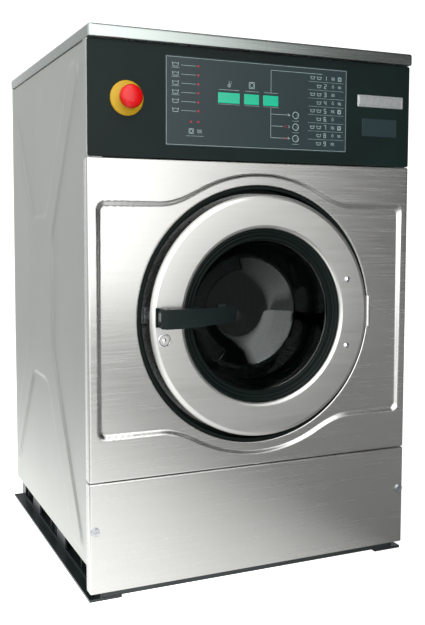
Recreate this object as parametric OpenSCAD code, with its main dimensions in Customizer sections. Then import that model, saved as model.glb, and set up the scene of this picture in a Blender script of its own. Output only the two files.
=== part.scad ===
// Commercial front-loading washer extractor, free-standing, with a sprung tub.
// Millimetres. +X to the viewer's right, +Y to the back, +Z up.
// The origin is on the floor, in the middle of the cabinet's footprint.

/* [Cabinet] */
// Width over the side panels
cabinet_w = 660; // [600:5:800]
// Depth from the front face to the rear face
cabinet_d = 640; // [620:5:780]
// Height from the floor to the top of the lid
cabinet_h = 1000; // [980:5:1240]
// Thickness of the sheet steel
sheet_t = 1.5; // [1:0.25:2]
// Height of the lid's skirt
lid_h = 21.5; // [16:0.5:30]
// How far the lid stands out in front of the front face
lid_front = 10.5; // [4:0.5:14]
// Height of the control panel
control_h = 196.5; // [180:0.5:220]
// Height of the top edge of the lower panel
lower_top = 213; // [190:1:240]
// Gap under the lower panel
lower_gap = 15.5; // [8:0.5:25]
// Height of the lower edge of the side panels
side_bottom = 58; // [56:1:80]
// Depth of the folded returns of the front panels
return_d = 24; // [16:1:30]
// Gap between neighbouring panels
seam = 1.5; // [0.5:0.5:3]
// Depth of the pressed field in the front panel
field_depth = 4; // [2:0.5:5]
// Height of the pressed rib in the side panels
rib_h = 3; // [2:0.5:4]

/* [Base frame] */
// Height of the side rails
rail_h = 54; // [44:1:55]
// Thickness of the rails
rail_t = 4; // [3:0.5:5]
// Thickness of the floor flanges
foot_t = 5; // [4:0.5:8]
// Width of the floor flanges
foot_w = 60; // [50:1:70]
// How far the rail's web stands in from the flange's outer edge
rail_inset = 20; // [15:1:25]
// How far the rails run past the rear panel
rail_tail = 25; // [0:1:40]
// Length of the front window in each rail
window_front_l = 210; // [120:5:230]
// Length of the middle window in each rail
window_mid_l = 155; // [100:5:180]
// Width of the webs between the windows
window_post = 70; // [40:5:90]
// Radius of the anchor holes
anchor_r = 7; // [5:0.5:9]
// Distance of the anchor holes from the centre, across
anchor_x = 288; // [270:1:300]
// Distance of the anchor holes from the centre, lengthways
anchor_y = 245; // [235:1:255]

/* [Door] */
// Radius of the hole in the front panel
hole_r = 239.5; // [235:0.5:245]
// Outer radius of the steel door ring
ring_r = 224; // [218:0.5:226]
// Inner radius of the steel door ring
ring_in_r = 161; // [155:0.5:165]
// How far the door ring's face stands out of the front face
ring_out = 22; // [18:1:28]
// Inner radius of the rubber round the glass
gasket_in_r = 140; // [134:0.5:143]
// How far the glass bowl reaches behind the front face
bowl_depth = 96; // [80:1:105]
// Thickness of the glass
glass_t = 5; // [4:0.5:6]
// Distance of the hinge pin from the door's centre
hinge_x = 232; // [230:0.5:234]
// Radius of the hinge pin
hinge_pin_r = 3; // [2.5:0.25:3.5]

/* [Tub and drum] */
// Space between the tub and the cabinet's side
tub_side_gap = 45; // [40:1:60]
// Space between the tub and the drum
drum_gap = 20; // [16:1:26]
// Depth of the drum
drum_depth = 300; // [260:5:310]
// Radius of the mouth in the tub
mouth_r = 150; // [146:1:154]
// Radius of the drum shaft
shaft_r = 20; // [16:1:24]
// Outer radius of the bearings
bearing_r = 40; // [34:1:46]
// Radius of the drum pulley
pulley_r = 175; // [140:5:185]
// Radius of the motor pulley
motor_pulley_r = 35; // [25:1:45]
// Radius of the motor's housing
motor_r = 62; // [50:1:66]
// Travel of the sprung tub, up and down
float_travel = 6; // [3:1:8]

/* [Controls] */
// Radius of the emergency stop's yellow plate
estop_plate_r = 30; // [28:1:45]
// Radius of the emergency stop's red head
estop_head_r = 20; // [18:1:25]
// Radius of the round keys
key_r = 7.5; // [6:0.5:8]
// Travel of the round keys
key_travel = 0.6; // [0.3:0.1:1]

/* [Hidden] */
$fn = 96;

// Clearances
slack = 0.3;          // between pieces that are assembled but not fitted
running = 0.05;       // radial, between a pin or shaft and its bore
overcut = 1;          // how far a cut runs past what it cuts

// Heights and planes
half_w = cabinet_w / 2;
front_y = -cabinet_d / 2;
lid_z = cabinet_h - lid_h;
control_z = lid_z - seam - control_h;
panel_z = lower_top + seam;
panel_h = control_z - seam - panel_z;
door_z = panel_z + panel_h / 2;
panel_top = lid_z - seam;
skin_x = half_w - rib_h;          // plane of the side panels outside their rib
inside_x = skin_x - sheet_t;
side_y = return_d + seam;         // where the side panels start, from the front face

// Tub and drive, distances from the front face
tub_r = half_w - tub_side_gap;
tub_t = 2;
drum_r = tub_r - drum_gap;
drum_t = 2;
plate_y = 34;
plate_t = 3;
tub_y = plate_y + plate_t;
drum_y = tub_y + 10;
tub_l = drum_depth + 64;
tub_back = tub_y + tub_l;
housing_flange_t = 12;
housing_l = 124;
belt_y = tub_back + 150;
belt_w = 20;
belt_t = 8;
pulley_w = 26;
shaft_end = belt_y + pulley_w / 2 + 14;
motor_x = 95;
motor_z = 124;
motor_l = 190;

// Suspension, distances from the front face
strut_x = 235;
strut_y = [130, 372];
beam_w = 40;
beam_top = rail_h - rail_t;
cup_t = 6;
cradle_z = 195;
cradle_h = 135;
cradle_t = 6;
seat_t = 5;
spring_r = 26;
wire_r = 4;
spring_turns = 5;
spring_steps = 12;
spring_sides = 6;
damper_r = 14;
damper_bore = 12;
rod_r = 6;

// Door, distances from the front face and from the door's centre
ring_t = 1.5;
roll = 8;
frame_r = ring_r - 10;
frame_front = 3.5;
frame_back = 16;
hinge_y = -8;
knuckle_r = 6;
knuckle_h = 60;
tongue_h = 23;
bolt_x = 176;
bolt_z = 64;
lever_pin_x = -204;
lever_pin_y = -38;
lever_z = 6;
lever_h = 34;
lever_pin_r = 3;
hook_y = 26;
lock_x = -199;
lock_z = -35;

// Lower panel's fasteners
fastener_r = 4;
fastener_x = half_w - 9.5;
fastener_z = 128;

// Controls, from the front face
fascia_t = 3;
overlay_t = 0.6;
overlay_x = [-189, 183];
overlay_z = [control_z + 23, control_z + 179];
display_x = [[-88, -44], [-36, -5], [3, 35]];
display_z = [control_z + 102, control_z + 121.5];
key_x = 71.2;
key_front = -1.3;
key_back = 3.8;
key_z = [control_z + 88, control_z + 66.4, control_z + 44.9];
estop_x = -259.5;
estop_z = control_z + 100;
estop_out = 34;
estop_travel = 4;
stem_r = 8;

// Soap box, from the front face
soap_x = [-230, -50];
soap_y = [200, 370];
soap_depth = 90;
soap_rim = 12;
soap_wall = 2;
soap_out_x = (soap_x[0] + soap_x[1]) / 2;
soap_out_y = (soap_y[0] + soap_y[1]) / 2;
soap_floor = cabinet_h - soap_depth;
soap_pin_r = 2;
soap_lid_t = 4;
soap_hinge_y = soap_y[1] + soap_rim + 6;
soap_hinge_z = cabinet_h + sheet_t + 5;

// Services on the rear panel, x and height
rear_y = cabinet_d;
drain_x = -60;
drain_y = 200;
drain_z = 110;
drain_r = 38;
drain_bore = 34;
drain_out = 40;
drain_stub = 26;
drain_neck = 58;
valve_x = [60, 140];
valve_z = 900;
valve_r = 13.2;
valve_out = 18;
gland_x = 220;
gland_z = 860;
gland_bore = 6.5;

steel = [0.75, 0.75, 0.73];
dark = [0.07, 0.09, 0.09];
rubber = [0.05, 0.06, 0.06];
zinc = [0.62, 0.63, 0.65];

// ---- helpers ----

// Places children so that y = 0 is the cabinet's front face.
module at_front() translate([0, front_y, 0]) children();

// Places children so that the door's centre on the front face is the origin.
module at_door() translate([0, front_y, door_z]) children();

// A cylinder along +Y, starting at y = 0.
module ycyl(r, h) rotate([-90, 0, 0]) cylinder(r = r, h = h);

// A cylinder along +X, starting at x = 0.
module xcyl(r, h) rotate([0, 90, 0]) cylinder(r = r, h = h);

// A profile of radius and depth turned about the Y axis.
module yturn() rotate([-90, 0, 0]) rotate_extrude() children();

// A ring about the Y axis.
module yring(r_out, r_in, h) difference() {
    ycyl(r_out, h);
    translate([0, -overcut, 0]) ycyl(r_in, h + 2 * overcut);
}

// An outline in X and Z made into a plate t thick, from y = 0 backwards.
module plate_y(t) translate([0, t, 0]) rotate([90, 0, 0]) linear_extrude(t) children();

// An outline in Y and Z made into a plate t thick, from x = 0 to the right.
module plate_x(t) rotate([90, 0, 90]) linear_extrude(t) children();

// A box between two corners.
module block(low, high) translate(low) cube(high - low);

// Both sides of something that is drawn on the right.
module both_sides() {
    children();
    mirror([1, 0, 0]) children();
}

// A rectangle between two corners with rounded corners.
module round_rect(low, high, r) translate(low + [r, r]) offset(r) square(high - low - [2 * r, 2 * r]);

// ---- base frame ----

module side_rail() {
    rail_front = 6;
    end_post = 35;
    rail_l = cabinet_d + rail_tail - rail_front;
    window_rear_l = rail_l - 2 * end_post - 2 * window_post - window_front_l - window_mid_l;
    starts = [end_post, end_post + window_front_l + window_post,
              end_post + window_front_l + window_mid_l + 2 * window_post];
    lengths = [window_front_l, window_mid_l, window_rear_l];
    web_x = half_w - rail_inset;
    translate([0, front_y + rail_front, 0]) difference() {
        union() {
            block([half_w - foot_w, 0, 0], [half_w, rail_l, foot_t]);
            block([web_x - rail_t, 0, 0], [web_x, rail_l, rail_h]);
            block([half_w - foot_w, 0, rail_h - rail_t], [web_x, rail_l, rail_h]);
        }
        for (i = [0:2])
            block([web_x - rail_t - overcut, starts[i], foot_t + 4],
                  [web_x + overcut, starts[i] + lengths[i], rail_h - 2 * rail_t]);
        for (y = [-anchor_y, anchor_y])
            translate([anchor_x + half_w - 330, y - front_y - rail_front, -overcut])
                cylinder(r = anchor_r, h = foot_t + 2 * overcut);
    }
}

module base_beam(y) {
    beam_x = half_w - rail_inset - rail_t;
    wall = 3;
    translate([-beam_x, y, foot_t]) difference() {
        cube([2 * beam_x, beam_w, beam_top - foot_t]);
        translate([-overcut, wall, wall])
            cube([2 * beam_x + 2 * overcut, beam_w - 2 * wall, beam_top - foot_t - 2 * wall]);
    }
}

module base_side_rails() color(dark) both_sides() side_rail();

module base_cross_beams() color(dark) {
    at_front() base_beam(6);
    at_front() for (y = strut_y) base_beam(y - beam_w / 2);
    at_front() base_beam(cabinet_d - 22);
}

// ---- cabinet ----

// An angle bar along Z with its corner at the origin and its legs towards +X and +Y.
module angle_bar(leg, t, l) difference() {
    cube([leg, leg, l]);
    translate([t, t, -overcut]) cube([leg, leg, l + 2 * overcut]);
}

module cabinet_frame() {
    leg = 24;
    t = 2;
    post_front = field_depth + sheet_t + 2;
    post_x = inside_x;
    top = lid_z - slack;
    rear = cabinet_d - sheet_t - slack;
    pad = half_w - sheet_t - slack - post_x;
    color(zinc) at_front() {
        both_sides() {
            translate([post_x, post_front, rail_h]) mirror([1, 0, 0]) angle_bar(leg, t, top - rail_h);
            translate([post_x, rear, rail_h]) rotate([0, 0, 180]) angle_bar(leg, t, top - rail_h);
            translate([post_x, post_front, top]) rotate([-90, 0, 0])
                mirror([1, 0, 0]) angle_bar(leg, t, rear - post_front);
            block([post_x, post_front + 2, rail_h], [post_x + pad, return_d - 2, panel_top]);
        }
        translate([-post_x + t, post_front + t, top]) rotate([90, 0, 90]) mirror([0, 1, 0])
            angle_bar(leg, t, 2 * (post_x - t));
        translate([-post_x + t, rear - t, top]) rotate([90, 0, 90]) rotate([0, 0, 180])
            angle_bar(leg, t, 2 * (post_x - t));
    }
}

// The pressed rib's outline in distance from the front face and height: two legs at the front, two at
// the back and a waist between them.
module rib_outline() {
    mid = 372;
    waist = 112;
    leg = 74;
    top = panel_top - 26;
    bottom = side_bottom + 18;
    waist_top = top - 311;
    waist_bottom = bottom + 332;
    reach = mid - 42;
    back = rear_y - 12;
    notch_top = waist_top + 40;
    notch_bottom = waist_bottom - 60;
    intersection() {
        offset(14) offset(-28) offset(14) polygon([
            [mid - reach, top], [mid - waist, waist_top], [mid - waist, waist_bottom], [mid - reach, bottom],
            [mid - reach + leg, bottom], [mid - 60, notch_bottom], [mid + 60, notch_bottom],
            [mid + reach - leg, bottom], [mid + reach, bottom], [mid + waist, waist_bottom],
            [mid + waist, waist_top], [mid + reach, top], [mid + reach - leg, top],
            [mid + 60, notch_top], [mid - 60, notch_top], [mid - reach + leg, top]
        ]);
        translate([side_y + 8, side_bottom + 8]) square([back - side_y - 8, panel_top - side_bottom - 16]);
    }
}

// A side panel, drawn on the right.
module side_panel() color(steel) at_front() {
    translate([inside_x, 0, 0]) plate_x(sheet_t) difference() {
        translate([side_y, side_bottom]) square([cabinet_d - side_y, panel_top - side_bottom]);
        offset(-sheet_t) rib_outline();
    }
    translate([inside_x + rib_h, 0, 0]) plate_x(sheet_t) rib_outline();
    translate([inside_x + sheet_t, 0, 0]) plate_x(rib_h - sheet_t) difference() {
        rib_outline();
        offset(-sheet_t) rib_outline();
    }
}

module side_panel_left() mirror([1, 0, 0]) side_panel();
module side_panel_right() side_panel();

// The pressed field's outline in X and height: a wide rectangle joined to a circle round the door.
module field_outline() {
    field_x = half_w - 19;
    field_z = 204;
    hump_r = hole_r + 20;
    offset(-24) offset(24) union() {
        translate([0, door_z]) circle(hump_r);
        translate([0, door_z]) round_rect([-field_x, -field_z], [field_x, field_z], 10);
    }
}

module front_panel() color(steel) at_front() {
    rim = 12;
    difference() {
        union() {
            plate_y(sheet_t) difference() {
                translate([-half_w, panel_z]) square([cabinet_w, panel_h]);
                offset(-sheet_t) field_outline();
            }
            translate([0, field_depth, 0]) plate_y(sheet_t) field_outline();
            translate([0, sheet_t, 0]) plate_y(field_depth - sheet_t) difference() {
                field_outline();
                offset(-sheet_t) field_outline();
            }
            translate([0, field_depth, door_z]) ycyl(hole_r + sheet_t, rim);
            both_sides() block([half_w - sheet_t, 0, panel_z], [half_w, return_d, panel_z + panel_h]);
        }
        translate([0, -overcut, door_z]) ycyl(hole_r, rim + field_depth + 2 * overcut);
    }
}

module door_gap_seal() color(rubber) at_door() difference() {
    union() {
        translate([0, field_depth + 1, 0]) yring(hole_r - slack, hole_r - 6.5, 19);
        translate([0, field_depth + 16, 0]) yring(hole_r - slack, hole_r - 13, 4);
    }
    block([hinge_x - 12, 0, -knuckle_h / 2 - 12], [half_w, 40, knuckle_h / 2 + 12]);
}

module lower_panel() color(steel) at_front() difference() {
    union() {
        block([-half_w, 0, lower_gap], [half_w, sheet_t, lower_top]);
        both_sides() block([half_w - sheet_t, 0, lower_gap], [half_w, return_d, lower_top]);
        block([-inside_x + 26, 0, lower_top - sheet_t], [inside_x - 26, return_d / 2, lower_top]);
    }
    both_sides() translate([fastener_x, -overcut, fastener_z]) ycyl(fastener_r + slack, 4);
}

module rear_panel() color(steel) at_front() difference() {
    block([-inside_x, cabinet_d - sheet_t, side_bottom], [inside_x, cabinet_d, panel_top]);
    for (side = [-1, 1], i = [0:7])
        block([side * 150 - 70, cabinet_d - 3, 640 + 16 * i], [side * 150 + 70, cabinet_d + 1, 645 + 16 * i]);
    translate([drain_x, cabinet_d - 3, drain_z]) ycyl(drain_r - 2 + slack, 5);
    for (x = valve_x) translate([x, cabinet_d - 3, valve_z]) ycyl(valve_r - 1.5 + slack, 5);
    translate([gland_x, cabinet_d - 3, gland_z]) ycyl(gland_bore + 2.5 + slack, 5);
}

// A quarter-turn fastener with a cross slot, its seat at y = 0.
module quarter_turn() difference() {
    union() {
        translate([0, -1, 0]) ycyl(8.5, 1);
        translate([0, -3.2, 0]) ycyl(6.5, 2.2);
        ycyl(fastener_r, field_depth + sheet_t + 1.7);
    }
    translate([-0.7, -4, -5]) cube([1.4, 2, 10]);
    translate([-5, -4, -0.7]) cube([10, 2, 1.4]);
}

module panel_fasteners() color(zinc) at_front() both_sides() {
    translate([fastener_x, 0, fastener_z]) quarter_turn();
    for (z = [side_bottom + 40, 300, 520, 740, panel_top - 40])
        translate([inside_x - 12, cabinet_d, z]) union() {
            ycyl(4.5, 2.5);
            translate([0, 2.5, 0]) ycyl(3, 0.6);
        }
}

module top_lid() color(steel) at_front() difference() {
    block([-half_w, -lid_front, lid_z], [half_w, cabinet_d, cabinet_h]);
    block([-half_w + sheet_t, -lid_front + sheet_t, lid_z + sheet_t],
          [half_w - sheet_t, cabinet_d - sheet_t, cabinet_h - sheet_t]);
    block([-half_w + 16, -lid_front + 16, lid_z - overcut], [half_w - 16, cabinet_d - 16, lid_z + 2 * sheet_t]);
    block([soap_x[0] - soap_wall - slack, soap_y[0] - soap_wall - slack, lid_z],
          [soap_x[1] + soap_wall + slack, soap_y[1] + soap_wall + slack, cabinet_h + overcut]);
}

// ---- soap box ----

module soap_box() color(rubber) at_front() {
    cells = 3;
    gap = soap_wall;
    cell_w = (soap_x[1] - soap_x[0] - (cells - 1) * gap) / cells;
    difference() {
        union() {
            block([soap_x[0] - soap_rim, soap_y[0] - soap_rim, cabinet_h],
                  [soap_x[1] + soap_rim, soap_hinge_y + 6, cabinet_h + sheet_t]);
            block([soap_x[0] - soap_wall, soap_y[0] - soap_wall, soap_floor - soap_wall],
                  [soap_x[1] + soap_wall, soap_y[1] + soap_wall, cabinet_h + sheet_t]);
            translate([soap_out_x, soap_out_y, soap_floor - 20]) cylinder(r = 16, h = 20);
            for (x = [soap_x[0] - 8, soap_x[1]])
                union() {
                    block([x, soap_hinge_y - 5, cabinet_h], [x + 8, soap_hinge_y + 5, soap_hinge_z]);
                    translate([x, soap_hinge_y, soap_hinge_z]) xcyl(5, 8);
                }
        }
        for (i = [0:cells - 1])
            block([soap_x[0] + i * (cell_w + gap), soap_y[0], soap_floor],
                  [soap_x[0] + i * (cell_w + gap) + cell_w, soap_y[1], cabinet_h + 10]);
        translate([soap_out_x, soap_out_y, soap_floor - 21]) cylinder(r = 12, h = 24);
        translate([soap_x[0] - 9, soap_hinge_y, soap_hinge_z])
            xcyl(soap_pin_r + running, soap_x[1] - soap_x[0] + 18);
    }
}

module soap_lid() color(dark) at_front() {
    low = cabinet_h + sheet_t + slack;
    difference() {
        union() {
            block([soap_x[0] - soap_rim, soap_y[0] - soap_rim, low],
                  [soap_x[1] + soap_rim, soap_hinge_y - 6, low + soap_lid_t]);
            block([soap_x[0] + 9, soap_hinge_y - 7, soap_hinge_z - 3],
                  [soap_x[1] - 9, soap_hinge_y, soap_hinge_z + 1]);
            translate([soap_x[0] + 1, soap_hinge_y, soap_hinge_z]) xcyl(4, soap_x[1] - soap_x[0] - 2);
            translate([soap_x[0] - 7, soap_hinge_y, soap_hinge_z])
                xcyl(soap_pin_r, soap_x[1] - soap_x[0] + 14);
        }
        translate([soap_out_x, soap_y[0] - soap_rim - 4, low - overcut])
            cylinder(r = 12, h = soap_lid_t + 2 * overcut);
    }
}

// ---- control panel ----

module control_housing() color(steel) at_front() difference() {
    union() {
        block([-half_w, fascia_t, control_z], [half_w, fascia_t + sheet_t, panel_top]);
        both_sides() block([half_w - sheet_t, fascia_t, control_z], [half_w, return_d, panel_top]);
        block([-inside_x + 26, fascia_t, control_z], [inside_x - 26, return_d, control_z + sheet_t]);
    }
    for (d = display_x)
        block([d[0] + 2, 0, display_z[0] + 2], [d[1] - 2, 10, display_z[1] - 2]);
    for (z = key_z) translate([key_x, 0, z]) ycyl(key_r + slack, 10);
    translate([estop_x, 0, estop_z]) ycyl(stem_r + 3 + slack, 10);
}

module control_fascia() color(dark) at_front() difference() {
    plate_y(fascia_t) round_rect([-half_w + 1, control_z], [half_w - 1, panel_top], 4);
    for (d = display_x) block([d[0], -1, display_z[0]], [d[1], 4, display_z[1]]);
    for (z = key_z) translate([key_x, -1, z]) ycyl(key_r + slack, 5);
    translate([estop_x, -1, estop_z]) ycyl(stem_r + 3 + slack, 5);
}

module control_overlay() color([0.09, 0.13, 0.14]) at_front() translate([0, -overlay_t, 0]) difference() {
    plate_y(overlay_t) round_rect([overlay_x[0], overlay_z[0]], [overlay_x[1], overlay_z[1]], 2);
    for (d = display_x) block([d[0], -1, display_z[0]], [d[1], 2, display_z[1]]);
    for (z = key_z) translate([key_x, -1, z]) ycyl(key_r + slack, 3);
}

module display_windows() color([0.05, 0.65, 0.5]) at_front() for (d = display_x)
    block([d[0] + 0.2, -0.2, display_z[0] + 0.2], [d[1] - 0.2, fascia_t, display_z[1] - 0.2]);

module key(z) color(dark) at_front() translate([key_x, key_front, z]) ycyl(key_r, key_back - key_front);

module key_select() key(key_z[0]);
module key_start() key(key_z[1]);
module key_eco() key(key_z[2]);

module estop_plate() color([0.9, 0.75, 0.05]) at_front() translate([estop_x, 0, estop_z]) {
    yturn() polygon([[stem_r + slack, -14], [stem_r + 6, -14], [stem_r + 7, -5], [estop_plate_r - 2, -3],
                     [estop_plate_r, -1.5], [estop_plate_r, 0], [stem_r + 3, 0], [stem_r + 3, 4],
                     [stem_r + slack, 4]]);
}

module estop_stem() color([0.5, 0.5, 0.5]) at_front() translate([estop_x, -estop_out + 14, estop_z])
    ycyl(stem_r, estop_out + 12);

module estop_head() color([0.8, 0.04, 0.06]) at_front() translate([estop_x, -estop_out, estop_z]) difference() {
    yturn() polygon([[0, 0], [8, 0.4], [14, 1.8], [18, 4.2], [estop_head_r, 8], [estop_head_r, 13],
                     [estop_head_r - 2, 15], [stem_r + 4, 15], [0, 15]]);
    translate([0, 14, 0]) ycyl(stem_r + slack, 2);
}

module estop_contact_block() color(dark) at_front() translate([estop_x, 0, estop_z]) difference() {
    block([-16, fascia_t + sheet_t, -24], [16, 52, 24]);
    translate([0, 0, 0]) ycyl(stem_r + 3 + slack, 12);
    translate([0, 10, 0]) ycyl(stem_r + slack, 24);
}

module control_board() at_front() {
    board_y = fascia_t + sheet_t + 12;
    color([0.1, 0.35, 0.2]) block([-150, board_y, control_z + 12], [170, board_y + 2, panel_top - 30]);
    color(dark) for (x = [-140, 160], z = [control_z + 20, panel_top - 38])
        translate([x, fascia_t + sheet_t, z]) ycyl(4, 12);
    color(zinc) for (z = key_z) translate([key_x, key_back + key_travel + slack, z])
        ycyl(3, board_y - key_back - key_travel - slack);
    color(dark) for (d = display_x)
        block([d[0] + 3, fascia_t + slack, display_z[0] + 3], [d[1] - 3, board_y, display_z[1] - 3]);
}

module drive_unit() at_front() {
    color(zinc) block([-300, 560, 790], [-140, cabinet_d - sheet_t, 930]);
    color(dark) for (i = [0:6]) block([-296 + 22 * i, 548, 800], [-292 + 22 * i, 560, 920]);
    color(dark) block([170, 600, 795], [290, cabinet_d - sheet_t, 838]);
}

// ---- services ----

module water_valves() color([0.85, 0.85, 0.82]) at_front() for (x = valve_x)
    translate([x, cabinet_d, valve_z]) difference() {
        union() {
            ycyl(valve_r, valve_out);
            translate([0, -20, 0]) ycyl(valve_r - 1.5, 21);
            translate([0, -sheet_t - 8, 0]) ycyl(20, 8);
            translate([-16, -62, -16]) cube([32, 46, 32]);
            translate([0, -40, 16]) cylinder(r = 14, h = 26);
            translate([0, -50, -34]) cylinder(r = 6, h = 20);
        }
        translate([0, -10, 0]) ycyl(9, valve_out + 11);
    }

module cable_gland() color(dark) at_front() translate([gland_x, cabinet_d, gland_z]) difference() {
    union() {
        translate([0, -12, 0]) ycyl(gland_bore + 2.5, 14);
        translate([0, -sheet_t - 6, 0]) rotate([-90, 0, 0]) cylinder(r = 15, h = 6, $fn = 6);
        rotate([-90, 0, 0]) cylinder(r = 14, h = 8, $fn = 6);
        translate([0, 8, 0]) ycyl(11.5, 10);
    }
    translate([0, -13, 0]) ycyl(gland_bore, 32);
}

// ---- tub and suspension ----

module tub_shell() color(steel) at_door() difference() {
    union() {
        translate([0, tub_y, 0]) ycyl(tub_r, tub_l);
        translate([drain_x, drain_y, -tub_r - drain_stub]) cylinder(r = drain_r, h = drain_stub + 54);
        translate([soap_out_x, soap_out_y, tub_r - 80]) cylinder(r = 16, h = 110 - 24);
    }
    translate([0, tub_y - overcut, 0]) ycyl(tub_r - tub_t, tub_l - tub_t * 2 + overcut);
    translate([0, tub_back - 10, 0]) ycyl(60, 20);
    translate([drain_x, drain_y, -tub_r - drain_stub - overcut]) cylinder(r = drain_bore, h = 120);
    translate([soap_out_x, soap_out_y, tub_r - 120]) cylinder(r = 12, h = 130);
}

module tub_front_plate() color(steel) at_door() difference() {
    union() {
        translate([0, plate_y, 0]) ycyl(tub_r, plate_t);
        translate([0, plate_y, 0]) yring(tub_r, tub_r - 14, plate_t);
    }
    translate([0, plate_y - overcut, 0]) ycyl(mouth_r, plate_t + 2 * overcut);
}

module tub_mouth_seal() color([0.3, 0.31, 0.32]) at_door() yturn() polygon([
    [mouth_r - slack, plate_y - slack], [mouth_r + 8, plate_y - slack], [mouth_r + 8, plate_y - 6],
    [mouth_r - 4, plate_y - 8], [glass_lip_r, plate_y - 6], [glass_lip_r, plate_y - 2],
    [mouth_r - 6, plate_y - 2], [mouth_r - 4, plate_y + plate_t + 3], [mouth_r + 3, plate_y + plate_t + 3],
    [mouth_r + 3, plate_y + plate_t + slack], [mouth_r - slack, plate_y + plate_t + slack]
]);

module bearing_housing() color([0.35, 0.37, 0.4]) at_door() translate([0, tub_back, 0]) difference() {
    union() {
        ycyl(130, housing_flange_t);
        translate([0, housing_flange_t, 0]) ycyl(bearing_r + 14, housing_l - housing_flange_t);
        for (a = [0:60:300]) rotate([0, a, 0])
            translate([-4, housing_flange_t, 40]) cube([8, 60, 80]);
    }
    translate([0, -overcut, 0]) ycyl(shaft_r + 4, housing_l + 2 * overcut);
    translate([0, 20, 0]) ycyl(bearing_r, 20);
    translate([0, housing_l - 22, 0]) ycyl(bearing_r, 30);
    for (a = [30:60:330]) rotate([0, a, 0])
        translate([0, -overcut, 115]) ycyl(5, housing_flange_t + 2 * overcut);
}

module bearings() color(zinc) at_door() translate([0, tub_back, 0]) {
    translate([0, 21, 0]) yring(bearing_r, shaft_r + running, 18);
    translate([0, housing_l - 21, 0]) yring(bearing_r, shaft_r + running, 18);
}

module saddle(y) at_front() translate([0, y - cradle_t / 2, 0]) difference() {
    block([-strut_x - 30, 0, cradle_z], [strut_x + 30, cradle_t, cradle_z + cradle_h]);
    translate([0, -overcut, door_z]) ycyl(tub_r + slack, cradle_t + 2 * overcut);
}

module tub_cradle() color(dark) {
    for (y = strut_y) {
        saddle(y);
        at_front() both_sides() translate([strut_x, y, cradle_z - seat_t])
            cylinder(r = spring_r + 10, h = seat_t);
    }
    at_front() both_sides() block([strut_x - 60, strut_y[0], cradle_z], [strut_x - 54, strut_y[1], cradle_z + 40]);
    at_front() block([motor_x - 50, strut_y[1] - 40, cradle_z - 6], [motor_x + 86, tub_back + 110, cradle_z]);
    at_front() block([motor_x + 80, strut_y[1] - 40, cradle_z - 6], [motor_x + 86, tub_back + 110, cradle_z + 24]);
}

module each_strut() at_front() both_sides() for (y = strut_y) translate([strut_x, y, beam_top]) children();

module damper_cylinders() color(dark) each_strut() difference() {
    union() {
        cylinder(r = beam_w / 2 + 10, h = cup_t);
        cylinder(r = damper_r, h = 84);
    }
    translate([0, 0, 8]) cylinder(r = damper_bore, h = 70);
    translate([0, 0, 70]) cylinder(r = rod_r + 0.1, h = 20);
}

module damper_rods() color(zinc) each_strut() {
    translate([0, 0, 28]) cylinder(r = damper_bore - 0.1, h = 10);
    translate([0, 0, 38]) cylinder(r = rod_r, h = cradle_z - seat_t - beam_top - 38);
}

// One turn after another of round wire, as rings of points joined by faces.
module coil(r, wire, height, turns) {
    n = turns * spring_steps;
    points = [for (i = [0:n], k = [0:spring_sides - 1])
        let (a = 360 * i / spring_steps, b = 360 * k / spring_sides, rr = r + wire * cos(b))
        [rr * cos(a), rr * sin(a), height * i / n + wire * sin(b)]];
    sides = [for (i = [0:n - 1], k = [0:spring_sides - 1])
        let (m = (k + 1) % spring_sides)
        [i * spring_sides + k, i * spring_sides + m, (i + 1) * spring_sides + m, (i + 1) * spring_sides + k]];
    first = [for (k = [spring_sides - 1:-1:0]) k];
    last = [for (k = [0:spring_sides - 1]) n * spring_sides + k];
    polyhedron(points, concat(sides, [first, last]));
}

module suspension_springs() color(zinc) each_strut()
    translate([0, 0, cup_t + wire_r + slack])
        coil(spring_r, wire_r, cradle_z - seat_t - beam_top - cup_t - 2 * wire_r - 2 * slack, spring_turns);

module motor_body() color([0.3, 0.32, 0.36]) at_front() translate([motor_x, 0, motor_z]) {
    back = belt_y - pulley_w / 2 - 6;
    difference() {
        union() {
            translate([0, back - motor_l, 0]) ycyl(motor_r, motor_l);
            block([-40, back - motor_l + 20, motor_r - 12], [40, back - 30, cradle_z - 6 - motor_z]);
            block([motor_r - 12, back - motor_l + 50, -28], [motor_r + 18, back - motor_l + 110, 28]);
        }
        translate([0, back - 30, 0]) ycyl(12, 40);
    }
}

// Points on an arc round a centre.
function arc(x, z, r, from, to, n) =
    [for (i = [0:n]) let (a = from + (to - from) * i / n) [x + r * cos(a), z + r * sin(a)]];

// The belt's path round both pulleys, grown outwards.
module belt_outline(grow) {
    big = pulley_r + slack;
    small = motor_pulley_r + slack;
    span = norm([motor_x, motor_z - door_z]);
    lean = atan2(motor_z - door_z, motor_x);
    wrap = acos((big - small) / span);
    polygon(concat(
        arc(0, door_z, big + grow, lean + wrap, lean - wrap + 360, 80),
        arc(motor_x, motor_z, small + grow, lean - wrap, lean + wrap, 24)
    ));
}

module drive_belt() color(rubber) at_front() translate([0, belt_y - belt_w / 2, 0]) plate_y(belt_w) difference() {
    belt_outline(belt_t);
    belt_outline(0);
}

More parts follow.
